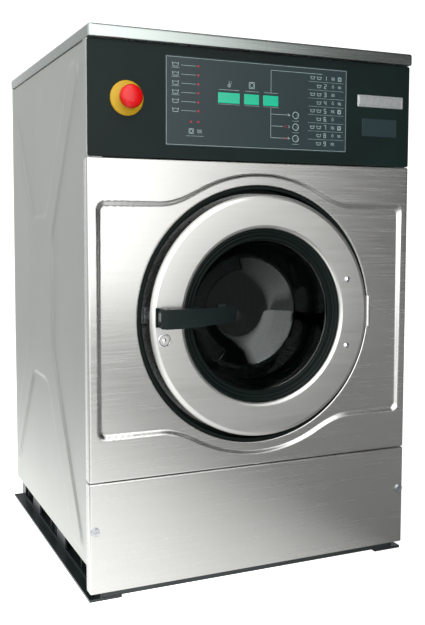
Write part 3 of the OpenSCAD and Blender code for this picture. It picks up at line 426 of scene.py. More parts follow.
@dataclass
class Shell:
    """Vertices and faces on their way into a mesh.

    Attributes:
        points: Vertices in millimetres, one row each.
        faces: Faces as tuples of vertex numbers.
    """

    points: np.ndarray = field(default_factory=lambda: np.zeros((0, 3)))
    faces: list = field(default_factory=list)

    def join(self, points: np.ndarray, faces: list) -> "Shell":
        """Adds more vertices and faces and returns itself."""
        base = len(self.points)
        self.points = np.vstack([self.points, np.asarray(points, float).reshape(-1, 3)])
        self.faces += [tuple(base + i for i in face) for face in faces]
        return self

    def surface(self, grid: np.ndarray, closed_u: bool = False, closed_v: bool = False) -> "Shell":
        """Adds a grid of points as quads.

        Args:
            grid: Points in an array of rows (u) by columns (v) by 3.
            closed_u: Joins the last row to the first.
            closed_v: Joins the last column to the first.

        Returns:
            Itself.
        """
        rows, cols = grid.shape[:2]
        number = np.arange(rows * cols).reshape(rows, cols)
        if closed_u:
            number = np.vstack([number, number[:1]])
        if closed_v:
            number = np.hstack([number, number[:, :1]])
        quads = np.stack([number[:-1, :-1], number[1:, :-1], number[1:, 1:], number[:-1, 1:]], -1).reshape(-1, 4)
        return self.join(grid.reshape(-1, 3), quads.tolist())

    def bowed(self, rings: np.ndarray) -> "Shell":
        """Adds rings of points as a closed body, with a fan over its first and last ring.

        Args:
            rings: Points in an array of rings by points by 3.

        Returns:
            The shell itself.
        """
        self.surface(rings, closed_v=True)
        first, last = rings[0], rings[-1]
        count = len(first)
        step = [(i, (i + 1) % count) for i in range(count)]
        self.join(np.vstack([first, first.mean(0)]), [(a, b, count) for a, b in step])
        self.join(np.vstack([last, last.mean(0)]), [(b, a, count) for a, b in step])
        return self


def make(name: str, shell: Shell, finish: Finish, body: str, replaces: tuple[str, ...] = (), wall_mm: float = 0.0,
         face: tuple[float, float, float] | None = None, sharp_deg: float = 40.0, weld_mm: float = 0.004,
         bevel_mm: float = 0.0) -> bpy.types.Object:
    """Turns a shell into an object, dresses it and puts it on its body.

    Args:
        name: The object's name.
        shell: Its vertices and faces, in millimetres.
        finish: Its material.
        body: The CAD body that it rides on.
        replaces: The CAD nodes that it stands for.
        wall_mm: Sheet thickness added on the back of an open skin.
        face: Where an open skin looks; a closed one has its normals worked out.
        sharp_deg: Edges steeper than this stay crisp.
        weld_mm: Vertices nearer than this are merged.
        bevel_mm: Width of a live bevel on sharp edges.

    Returns:
        The new object.
    """
    mesh = bpy.data.meshes.new(name)
    mesh.from_pydata(metres(shell.points).tolist(), [], shell.faces)
    work = bmesh.new()
    work.from_mesh(mesh)
    bmesh.ops.remove_doubles(work, verts=work.verts, dist=weld_mm * 0.001)
    bmesh.ops.dissolve_degenerate(work, edges=work.edges, dist=1e-7)
    if face is None:
        bmesh.ops.recalc_face_normals(work, faces=work.faces)
    else:
        work.normal_update()
        facing = sum((f.normal * f.calc_area() for f in work.faces), Vector())
        if facing.dot(Vector(face)) < 0.0:
            bmesh.ops.reverse_faces(work, faces=work.faces)
    work.to_mesh(mesh)
    work.free()
    return dress(name, mesh, finish, body, replaces, wall_mm, sharp_deg, bevel_mm)


def dress(name: str, mesh: bpy.types.Mesh, finish: Finish, body: str, replaces: tuple[str, ...], wall_mm: float = 0.0,
          sharp_deg: float = 40.0, bevel_mm: float = 0.0) -> bpy.types.Object:
    """Makes an object of a finished mesh: smooth shading, modifiers, material, body and replaced nodes.

    Args:
        name: The object's name.
        mesh: Its mesh, in metres and in place.
        finish: Its material.
        body: The CAD body that it rides on; empty for a piece that is blended between two.
        replaces: The CAD nodes that it stands for.
        wall_mm: Sheet thickness behind the skin.
        sharp_deg: Edges steeper than this stay crisp.
        bevel_mm: Width of a bevel on edges of over 30 degrees.

    Returns:
        The new object.
    """
    mesh.shade_smooth()
    mesh.set_sharp_from_angle(angle=math.radians(sharp_deg))
    mesh.materials.clear()
    mesh.materials.append(finish.material())
    made = bpy.data.objects.new(name, mesh)
    bpy.context.scene.collection.objects.link(made)
    if wall_mm:
        wall = made.modifiers.new("wall", "SOLIDIFY")
        wall.thickness = wall_mm * 0.001
        wall.offset = -1.0
        wall.use_even_offset = True
        wall.thickness_clamp = 1.0
    if bevel_mm:
        round_off = made.modifiers.new("round_off", "BEVEL")
        round_off.width = bevel_mm * 0.001
        round_off.segments = 3
        round_off.limit_method = "ANGLE"
        round_off.angle_limit = math.radians(30.0)
        round_off.harden_normals = True
        round_off.use_clamp_overlap = True
    if body:
        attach(made, body)
    if replaces:
        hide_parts(*replaces)
    return made


def softened(node: str, finish: Finish, body: str, bevel_mm: float = 0.8) -> bpy.types.Object:
    """A copy of a CAD node, welded, its flat faces whole again and its edges rounded, in the node's place.

    Args:
        node: The CAD node.
        finish: Its material.
        body: The CAD body that it rides on.
        bevel_mm: Radius of the edges.

    Returns:
        The new object.
    """
    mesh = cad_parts[node].data.copy()
    mesh.name = node + "_finished"
    work = bmesh.new()
    work.from_mesh(mesh)
    bmesh.ops.remove_doubles(work, verts=work.verts, dist=1e-6)
    bmesh.ops.dissolve_limit(work, angle_limit=math.radians(0.6), verts=work.verts, edges=work.edges)
    work.to_mesh(mesh)
    work.free()
    for layer in list(mesh.attributes):
        if layer.name in ("custom_normal", "sharp_edge", "sharp_face"):
            mesh.attributes.remove(layer)
    return dress(node + "_finished", mesh, finish, body, (node,), 0.0, 32.0, bevel_mm)


def lathe(profile: np.ndarray, centre: tuple[float, float], steps: int = 192, closed: bool = True) -> np.ndarray:
    """A profile turned about an axis along the depth.

    A point at radius r and depth d goes to (cx + r sin a, d, cz + r cos a) for the angles a of a full turn.

    Args:
        profile: Rows of radius and depth.
        centre: x and z of the axis.
        steps: Points round the axis.
        closed: Repeats the profile's first point at its end.

    Returns:
        Points in an array of profile points by steps by 3.
    """
    line = np.asarray(profile, float)
    if closed:
        line = np.vstack([line, line[:1]])
    turn = np.linspace(0.0, 2.0 * np.pi, steps, endpoint=False)
    radius, depth = line[:, :1], line[:, 1:]
    return np.stack([centre[0] + radius * np.sin(turn), depth + 0.0 * turn, centre[1] + radius * np.cos(turn)], -1)


def filleted(corners: list[tuple[float, float, float]], closed: bool = True, steps: int = 6) -> np.ndarray:
    """A polyline with each corner replaced by an arc.

    The arc of radius r touches both sides at r / tan(half the corner's angle) from the corner, and its points
    are the corner's own quadratic curve between those two, which lies within a few hundredths of the arc.

    Args:
        corners: x, y and radius of each corner.
        closed: Joins the last corner to the first.
        steps: Points on each arc.

    Returns:
        Rows of x and y.
    """
    rows = np.asarray(corners, float)
    spots, radii = rows[:, :2], rows[:, 2]
    count = len(spots)
    share = np.linspace(0.0, 1.0, steps)[:, None]
    out = []
    for i in range(count):
        if radii[i] <= 0.0 or (not closed and i in (0, count - 1)):
            out.append(spots[i:i + 1])
            continue
        back, ahead = spots[i - 1] - spots[i], spots[(i + 1) % count] - spots[i]
        len_back, len_ahead = np.linalg.norm(back), np.linalg.norm(ahead)
        cosine = np.clip(np.dot(back, ahead) / (len_back * len_ahead), -0.9999, 0.9999)
        reach = min(radii[i] / math.tan(math.acos(cosine) / 2.0), 0.49 * len_back, 0.49 * len_ahead)
        start, stop = spots[i] + back / len_back * reach, spots[i] + ahead / len_ahead * reach
        out.append((1 - share) ** 2 * start + 2 * share * (1 - share) * spots[i] + share ** 2 * stop)
    return np.vstack(out)


def smooth_step(value: np.ndarray) -> np.ndarray:
    """0 below 0, 1 above 1, and an even S between them."""
    clipped = np.clip(value, 0.0, 1.0)
    return clipped * clipped * (3.0 - 2.0 * clipped)


def box_distance(x: np.ndarray, z: np.ndarray, half: tuple[float, float], radius: float) -> np.ndarray:
    """Signed distance to a rectangle about the origin with rounded corners, negative inside."""
    dx, dz = np.abs(x) - half[0] + radius, np.abs(z) - half[1] + radius
    return np.minimum(np.maximum(dx, dz), 0.0) + np.hypot(np.maximum(dx, 0.0), np.maximum(dz, 0.0)) - radius


def soft_union(one: np.ndarray, two: np.ndarray, blend: float) -> np.ndarray:
    """The smaller of two distances, rounded where they cross."""
    share = np.clip(0.5 + 0.5 * (two - one) / blend, 0.0, 1.0)
    return two + (one - two) * share - blend * share * (1.0 - share)


def polygon_distance(x: np.ndarray, z: np.ndarray, corners: np.ndarray) -> np.ndarray:
    """Signed distance to a polygon, negative inside: nearest side, and the even-odd rule for the sign.

    Args:
        x: Points' first coordinate.
        z: Their second one.
        corners: The polygon, one row a corner.

    Returns:
        The distance at each point.
    """
    best = np.full(x.shape, 1e9)
    inside = np.zeros(x.shape, bool)
    for (ax, az), (bx, bz) in zip(corners, np.roll(corners, -1, axis=0)):
        ex, ez = bx - ax, bz - az
        along = np.clip(((x - ax) * ex + (z - az) * ez) / (ex * ex + ez * ez), 0.0, 1.0)
        best = np.minimum(best, np.hypot(x - ax - along * ex, z - az - along * ez))
        if ez != 0.0:
            inside ^= ((az > z) != (bz > z)) & (x < ex * (z - az) / ez + ax)
    return np.where(inside, -best, best)


def blurred(values: np.ndarray, reach: int) -> np.ndarray:
    """Values on a grid, averaged three times over 2 reach + 1 neighbours each way.

    Args:
        values: The grid.
        reach: Neighbours on each side.

    Returns:
        The averaged grid.
    """
    kernel = np.ones(2 * reach + 1) / (2 * reach + 1)
    for _ in range(3):
        for axis in (0, 1):
            width = [(reach, reach) if a == axis else (0, 0) for a in (0, 1)]
            padded = np.pad(values, width, mode="edge")
            values = np.apply_along_axis(lambda row: np.convolve(row, kernel, "valid"), axis, padded)
    return values


def ray_angles(centre: tuple[float, float], corners: list[tuple[float, float]], steps: int) -> np.ndarray:
    """Angles of a full turn: even ones, and a cluster at each corner as seen from the centre.

    Args:
        centre: Where the rays start.
        corners: The corners that get a cluster.
        steps: Number of even angles.

    Returns:
        Sorted angles in radians.
    """
    near = np.array([math.atan2(z - centre[1], x - centre[0]) for x, z in corners])
    cluster = (near[:, None] + np.linspace(-0.02, 0.02, 9)).ravel()
    even = np.linspace(-np.pi, np.pi, steps, endpoint=False)
    turn = np.mod(np.concatenate([even, cluster]) + np.pi, 2 * np.pi) - np.pi
    turn = np.unique(np.round(turn, 5))
    return turn


def rect_loop(turn: np.ndarray, centre: tuple[float, float], low: tuple[float, float], high: tuple[float, float],
              radius: float) -> np.ndarray:
    """Where rays from a centre meet a rectangle; near a corner the points slide onto its arc.

    Args:
        turn: The rays' angles.
        centre: Where the rays start, inside the rectangle.
        low: The rectangle's lower corner.
        high: Its upper corner.
        radius: Corner radius.

    Returns:
        Rows of two coordinates.
    """
    way = np.stack([np.cos(turn), np.sin(turn)], -1)
    limit = np.where(way > 0.0, np.array(high), np.array(low)) - np.array(centre)
    reach = np.min(np.abs(limit) / np.maximum(np.abs(way), 1e-9), axis=1)
    spot = np.array(centre) + way * reach[:, None]
    inner = np.clip(spot, np.array(low) + radius, np.array(high) - radius)
    away = spot - inner
    length = np.linalg.norm(away, axis=1)
    corner = (np.abs(away[:, 0]) > 1e-6) & (np.abs(away[:, 1]) > 1e-6)
    pulled = inner + away / np.maximum(length, 1e-9)[:, None] * radius
    return np.where(corner[:, None], pulled, spot)


def plate_rings(low: tuple[float, float], high: tuple[float, float], radius: float, profile: np.ndarray,
                axis: str = "y") -> np.ndarray:
    """Rings of a rounded rectangle carried along a profile.

    Args:
        low: The rectangle's lower corner.
        high: Its upper corner.
        radius: Corner radius.
        profile: Rows of inset and depth, or height for axis z.
        axis: y for a plate that faces the front, z for one that faces up.

    Returns:
        Points in an array of profile points by ring points by 3.
    """
    rings = []
    quarter = np.linspace(0.0, np.pi / 2, 9)
    for inset, level in profile:
        r = max(radius - inset, 0.2)
        spots = []
        for k, (sx, sz) in enumerate([(1, 1), (-1, 1), (-1, -1), (1, -1)]):
            cx = (high[0] - inset - r) if sx > 0 else (low[0] + inset + r)
            cz = (high[1] - inset - r) if sz > 0 else (low[1] + inset + r)
            a = quarter + k * np.pi / 2
            spots.append(np.stack([cx + r * np.cos(a), cz + r * np.sin(a)], -1))
        ring = np.vstack(spots)
        depth = np.full(len(ring), level)
        order = (ring[:, 0], depth, ring[:, 1]) if axis == "y" else (ring[:, 0], ring[:, 1], depth)
        rings.append(np.stack(order, -1))
    return np.array(rings)


def tube(path: np.ndarray, radius: float, sides: int = 12) -> np.ndarray:
    """A round tube round a path: at each point a circle square to the path's direction.

    Args:
        path: Rows of x, depth and z.
        radius: The tube's radius.
        sides: Points round it.

    Returns:
        Points in an array of path points by sides by 3.
    """
    ahead = np.gradient(path, axis=0)
    ahead /= np.linalg.norm(ahead, axis=1)[:, None]
    up = np.array([0.0, 0.0, 1.0]) + 0.0 * ahead
    side = np.cross(ahead, up)
    side /= np.linalg.norm(side, axis=1)[:, None]
    top = np.cross(side, ahead)
    turn = np.linspace(0.0, 2 * np.pi, sides, endpoint=False)
    return (path[:, None] + radius * (np.cos(turn)[None, :, None] * side[:, None]
                                      + np.sin(turn)[None, :, None] * top[:, None]))


def ribbon(line: np.ndarray, width: float, level: float) -> np.ndarray:
    """A flat printed line: the path's points moved half a width to either side in the x-z plane.

    Args:
        line: Rows of x and z.
        width: The line's width.
        level: Its depth.

    Returns:
        Points in an array of path points by 2 by 3.
    """
    ahead = np.gradient(line, axis=0)
    ahead /= np.maximum(np.linalg.norm(ahead, axis=1), 1e-9)[:, None]
    side = np.stack([-ahead[:, 1], ahead[:, 0]], -1) * width / 2
    pair = np.stack([line + side, line - side], 1)
    return np.stack([pair[..., 0], np.full(pair.shape[:2], level), pair[..., 1]], -1)


# ---------------------------------------------------------------- cabinet


@dataclass
class TopCover:
    """The lid, the soap box under it and the soap box's flap.

    Attributes:
        half_w: Half the lid's width.
        front: The lid's front edge.
        back: Its rear edge.
        low: The bottom of its skirt.
        high: Its top.
        bend: Radius of its edges.
        soap: The soap box's opening, low and high corner.
    """

    half_w: float = 330.0
    front: float = -10.5
    back: float = 640.0
    low: float = 978.5
    high: float = 1000.0
    bend: float = 4.5
    sheet: float = 1.5
    soap: tuple = ((-232.3, 197.7), (-47.7, 372.3))

    def build(self) -> None:
        """Builds and dresses the cover's pieces."""
        turn = np.linspace(0.0, np.pi / 2, 8)
        edge = [(self.bend * (1 - c), self.high - self.bend * (1 - s)) for c, s in zip(np.cos(turn), np.sin(turn))]
        start = [(16.0, self.low), (3.0, self.low), (1.2, self.low + 0.2), (0.2, self.low + 1.2),
                 (0.0, self.low + 3.0), (0.0, self.high - self.bend - 1.0)]
        profile = np.array(start + edge + [(self.bend + 2.5, self.high)])
        skirt = plate_rings((-self.half_w, self.front), (self.half_w, self.back), 7.0, profile, "z")
        low, high = self.soap
        hole = plate_rings((low[0] - 3, low[1] - 3), (high[0] + 3, high[1] + 3), 5.0,
                           np.array([(0.0, self.high), (2.2, self.high), (3.0, self.high - 0.8)]), "z")
        make("lid_sheet", Shell().surface(np.vstack([skirt, hole]), closed_v=True), SHADED_LID_STEEL, "cabinet",
             ("top_lid",), self.sheet, (0.0, 0.0, 1.0), 30.0)
        softened("soap_box", GREY_PLASTIC, "cabinet", 0.6)
        self.build_flap()

    def build_flap(self) -> None:
        """Rounds the flap's edges."""
        softened("soap_lid", HANDLE_PLASTIC, "soap_flap", 1.1)


@dataclass
class FrontSheet:
    """The pressed front panel with the door's hole, the panel under it and the seal inside the hole.

    Attributes:
        half_w: Half the panel's width.
        low: Its lower edge.
        high: Its upper edge.
        hole_r: Radius of the hole's rim.
        rim_back: Where the rim ends inside.
        field: Half width and half height of the pressed field.
        hump_r: Radius of the field's part round the door.
        depth: How deep the field is pressed.
        slope: Width of the field's slope.
        fold: How far the sides fold back, and how far the ends do.
    """

    half_w: float = 330.0
    low: float = 214.5
    high: float = 779.0
    hole_r: float = 239.5
    rim_back: float = 16.0
    field: tuple = (311.0, 204.0)
    hump_r: float = 259.5
    depth: float = 4.0
    slope: float = 6.5
    fold: tuple = (22.5, 6.0)
    bend: float = 2.6
    sheet: float = 1.5
    rays: int = 300
    rows: int = 48

    def pressed(self, x: np.ndarray, z: np.ndarray) -> np.ndarray:
        """Depth of the pressed field: 0 outside, the full depth inside, an even S across the slope."""
        block = box_distance(x, z - DOOR_Z, self.field, 12.0)
        disc = np.hypot(x, z - DOOR_Z) - self.hump_r
        reach = soft_union(block, disc, 26.0)
        return self.depth * smooth_step(0.5 - reach / self.slope)

    def build(self) -> None:
        """Builds and dresses the front's pieces."""
        corners = [(sx * self.half_w, z) for sx in (-1, 1) for z in (self.low, self.high)]
        turn = ray_angles((0.0, DOOR_Z), corners, self.rays)
        busy = np.radians(np.linspace(24.0, 62.0, 90))
        turn = np.unique(np.round(np.concatenate([turn, busy, -busy, np.pi - busy, busy - np.pi]), 5))
        low, high = (-self.half_w, self.low), (self.half_w, self.high)
        outer = rect_loop(turn, (0.0, DOOR_Z), low, high, 3.0)
        flat = rect_loop(turn, (0.0, DOOR_Z), (low[0] + self.bend, low[1] + self.bend),
                         (high[0] - self.bend, high[1] - self.bend), 1.0)
        way = np.stack([np.cos(turn), np.sin(turn)], -1)
        centre = np.array([0.0, DOOR_Z])
        rows = []
        for depth in (self.rim_back, 12.0, 9.0):
            spot = centre + way * self.hole_r
            rows.append(np.stack([spot[:, 0], np.full(len(turn), depth), spot[:, 1]], -1))
        for a in np.linspace(0.0, np.pi / 2, 7):
            spot = centre + way * (self.hole_r + self.bend * (1 - math.cos(a)))
            depth = self.depth + self.bend * (1 - math.sin(a))
            rows.append(np.stack([spot[:, 0], np.full(len(turn), depth), spot[:, 1]], -1))
        inner = centre + way * (self.hole_r + self.bend)
        for share in np.linspace(0.0, 1.0, self.rows)[1:]:
            spot = inner + (flat - inner) * share
            rows.append(np.stack([spot[:, 0], self.pressed(spot[:, 0], spot[:, 1]), spot[:, 1]], -1))
        side = np.abs(np.abs(outer[:, 0]) - self.half_w) < 0.05
        back = np.where(side, self.fold[0], self.fold[1])
        for a in np.linspace(0.0, np.pi / 2, 7)[1:]:
            spot = flat + (outer - flat) * math.sin(a)
            rows.append(np.stack([spot[:, 0], np.full(len(turn), self.bend * (1 - math.cos(a))), spot[:, 1]], -1))
        for depth, dent in ((9.1, 0.0), (9.5, 0.6), (9.9, 0.6), (10.3, 0.0)):
            x = np.where(side, outer[:, 0] - np.sign(outer[:, 0]) * dent, outer[:, 0])
            rows.append(np.stack([x, np.where(side, depth, self.bend + 0.08 * depth), outer[:, 1]], -1))
        rows.append(np.stack([outer[:, 0], back, outer[:, 1]], -1))
        make("front_sheet", Shell().surface(np.array(rows), closed_v=True), FRONT_STEEL, "cabinet", ("front_panel",),
             self.sheet, (0.0, -1.0, 0.0), 45.0)
        self.build_lower()
        softened("door_gap_seal", BLACK_RUBBER, "cabinet", 0.8)
        softened("panel_fasteners", ZINC, "cabinet", 0.35)

    def build_lower(self) -> None:
        """The kick panel: a flat sheet folded back all round."""
        turn = np.linspace(0.0, np.pi / 2, 7)
        folded_edge = [(self.bend * (1 - math.sin(a)), self.bend * (1 - math.cos(a))) for a in turn]
        profile = np.array([(60.0, 0.0), (self.bend + 2.0, 0.0)] + folded_edge + [(0.0, 5.8)])
        rings = plate_rings((-self.half_w, 15.5), (self.half_w, 213.0), 3.0, profile)
        ends = rings[-1:].copy()
        ends[..., 1] = np.where(np.abs(ends[..., 0]) > self.half_w - 1.0, self.fold[0], 5.8)
        shell = Shell().surface(np.vstack([rings, ends]), closed_v=True)
        first = rings[0]
        count = len(first)
        shell.join(np.vstack([first, first.mean(0)]), [(i, (i + 1) % count, count) for i in range(count)])
        make("kick_panel", shell, FRONT_STEEL, "cabinet", ("lower_panel",), self.sheet, (0.0, -1.0, 0.0), 45.0)


@dataclass
class SideSheet:
    """A side panel with the pressed rib: two legs at the front and two at the back, joined at the waist.

    Attributes:
        front: Its front edge.
        back: Its rear edge.
        low: Its lower edge.
        high: Its upper edge.
        plane: The sheet's outer plane.
        rib: Height of the rib.
        slope: Width of the rib's slope.
        cell: Spacing of the mesh.
    """

    front: float = 25.5
    back: float = 640.0
    low: float = 58.0
    high: float = 977.0
    plane: float = 327.0
    rib: float = 3.0
    slope: float = 6.0
    cell: float = 3.7
    sheet: float = 1.5
    mid: float = 372.0
    waist: float = 112.0
    leg: float = 74.0

    def outline(self) -> np.ndarray:
        """The rib's corners as distance from the front face and height."""
        top, bottom, reach = self.high - 26.0, self.low + 18.0, self.mid - 42.0
        waist_top, waist_low = top - 311.0, bottom + 332.0
        half = np.array([
            (self.mid - reach, top), (self.mid - self.waist, waist_top), (self.mid - self.waist, waist_low),
            (self.mid - reach, bottom), (self.mid - reach + self.leg, bottom), (self.mid - 60.0, waist_low - 60.0)])
        low_right = half[::-1].copy()
        low_right[:, 0] = 2 * self.mid - low_right[:, 0]
        upper = np.array([(self.mid + reach - self.leg, top), (self.mid + 60.0, waist_top + 40.0),
                          (self.mid - 60.0, waist_top + 40.0), (self.mid - reach + self.leg, top)])
        return np.vstack([half, low_right, upper])

    def raised(self, y: np.ndarray, z: np.ndarray) -> np.ndarray:
        """Height of the rib over the sheet; the outline's corners are eased by averaging its distance field.

        Args:
            y: Depth of each point.
            z: Height of each point.

        Returns:
            The height at each point.
        """
        reach = polygon_distance(y, z, self.outline())
        limit = np.maximum.reduce([33.5 - y, y - 628.0, self.low + 8.0 - z, z - self.high + 8.0])
        reach = np.maximum(reach, limit)
        eased = blurred(reach, 3)
        near = smooth_step((np.abs(eased - reach) - 0.2) / 1.0)
        return self.rib * smooth_step(0.5 - (reach + (eased - reach) * near) / self.slope)

    def build(self, side: int, name: str) -> None:
        """Builds one panel.

        Args:
            side: -1 for the left, 1 for the right.
            name: The CAD node that it stands for.
        """
        cols = int((self.back - self.front) / self.cell)
        rows = int((self.high - self.low) / self.cell)
        y, z = np.meshgrid(np.linspace(self.front, self.back, cols), np.linspace(self.low, self.high, rows))
        x = side * (self.plane + self.raised(y, z))
        make(name + "_sheet", Shell().surface(np.stack([x, y, z], -1)), SHADED_SIDE_STEEL, "cabinet", (name,), self.sheet,
             (float(side), 0.0, 0.0), 60.0)


@dataclass
class Base:
    """Side rails with their foot flanges, and the cross beams between them."""

    edge: float = 1.6

    def build(self) -> None:
        """Rounds the folded edges of the rails and beams and paints them."""
        softened("base_side_rails", BASE_PAINT, "cabinet", self.edge)
        softened("base_cross_beams", BASE_PAINT, "cabinet", self.edge)


@dataclass
class Rear:
    """Rear panel, inner frame, and what goes through the rear panel."""

    def build(self) -> None:
        """Dresses the rear's pieces."""
        softened("rear_panel", SHADED_SIDE_STEEL, "cabinet", 0.4)
        softened("cabinet_frame", ZINC, "cabinet", 0.5)
        softened("water_valves", BRASS, "cabinet", 0.7)
        softened("cable_gland", HANDLE_PLASTIC, "cabinet", 0.7)
        softened("drain_valve", GREY_PLASTIC, "cabinet", 1.0)
        softened("drive_unit", ZINC, "cabinet", 0.8)
        softened("control_board", LAMINATE, "cabinet", 0.3)
        softened("damper_cylinders", BASE_PAINT, "cabinet", 0.8)


# ---------------------------------------------------------------- controls


class Mark(Enum):
    """Small printed marks."""

    TUB = "tub"
    ROUND = "round"
    WAVES = "waves"
    FLAME = "flame"
    DROP = "drop"


@dataclass
class Print:
    """What is printed on the overlay: generic marks, scales and digits as thin raised ink.

    Attributes:
        level: The ink's surface.
        pen: Width of a line.
        ink: The white ink's shell.
        lens: The red dots' shell.
    """

    level: float = -0.66
    pen: float = 0.75
    ink: Shell = field(default_factory=Shell)
    lens: Shell = field(default_factory=Shell)

    def line(self, spots: list, pen: float | None = None) -> None:
        """Draws a polyline of x and z."""
        points = np.asarray(spots, float)
        for a, b in zip(points[:-1], points[1:]):
            self.ink.surface(ribbon(np.array([a, b]), pen or self.pen, self.level))

    def ring(self, x: float, z: float, radius: float, pen: float | None = None) -> None:
        """Draws a circle."""
        turn = np.linspace(0.0, 2 * np.pi, 29)
        self.ink.surface(ribbon(np.stack([x + radius * np.cos(turn), z + radius * np.sin(turn)], -1),
                                pen or self.pen, self.level))

    def dot(self, x: float, z: float, radius: float = 2.0) -> None:
        """Draws an indicator: a low red lens."""
        profile = np.array([(radius, -0.6), (radius, -0.72), (radius * 0.6, -0.84), (0.02, -0.88)])
        self.lens.surface(lathe(profile, (x, z), 14, closed=False), closed_v=True)

    def mark(self, kind: Mark, x: float, z: float, size: float = 5.0) -> None:
        """Draws one of the marks centred on x and z.

        Args:
            kind: Which mark.
            x: Its centre across.
            z: Its centre's height.
            size: Half its width.
        """
        s = size
        if kind is Mark.TUB:
            self.line([(x - s, z + 0.55 * s), (x - 0.75 * s, z - 0.6 * s), (x + 0.75 * s, z - 0.6 * s),
                       (x + s, z + 0.55 * s)])
            wave = np.linspace(-0.85, 0.85, 9)
            self.line([(x + s * w, z + s * (0.3 + 0.14 * math.cos(7.4 * w))) for w in wave], self.pen * 0.8)
        elif kind is Mark.ROUND:
            self.line([(x - s, z - s), (x + s, z - s), (x + s, z + s), (x - s, z + s), (x - s, z - s)])
            self.ring(x, z, 0.7 * s)
        elif kind is Mark.WAVES:
            for level in (-0.5, 0.0, 0.5):
                self.line([(x + s * w, z + s * (level + 0.16 * math.sin(6.0 * w))) for w in np.linspace(-1, 1, 9)],
                          self.pen * 0.8)
        elif kind is Mark.FLAME:
            self.line([(x, z - s), (x, z + 0.7 * s)])
            self.ring(x, z - 0.6 * s, 0.42 * s)
            self.line([(x + 0.4 * s, z), (x + 0.9 * s, z)], self.pen * 0.8)
            self.line([(x + 0.4 * s, z + 0.5 * s), (x + 0.9 * s, z + 0.5 * s)], self.pen * 0.8)
        else:
            turn = np.linspace(0.0, 2 * np.pi, 17)
            peak = [0.5 * s if abs(a - np.pi) < 0.1 else 0.0 for a in turn]
            self.line([(x + 0.55 * s * math.sin(a), z - 0.55 * s * math.cos(a) + up) for a, up in zip(turn, peak)],
                      self.pen * 0.8)

    def digit(self, value: int, x: float, z: float, height: float = 7.0) -> None:
        """Draws a digit from the straight strokes of a seven-part figure.

        Args:
            value: 1 to 9.
            x: Its centre across.
            z: Its centre's height.
            height: Its height.
        """
        w, h = height * 0.28, height / 2
        strokes = {"a": [(-w, h), (w, h)], "b": [(w, h), (w, 0)], "c": [(w, 0), (w, -h)], "d": [(w, -h), (-w, -h)],
                   "e": [(-w, -h), (-w, 0)], "f": [(-w, 0), (-w, h)], "g": [(-w, 0), (w, 0)]}
        shown = {1: "bc", 2: "abged", 3: "abgcd", 4: "fgbc", 5: "afgcd", 6: "afgecd", 7: "abc", 8: "abcdefg",
                 9: "abcdfg"}[value]
        for key in shown:
            self.line([(x + dx, z + dz) for dx, dz in strokes[key]], self.pen * 1.25)


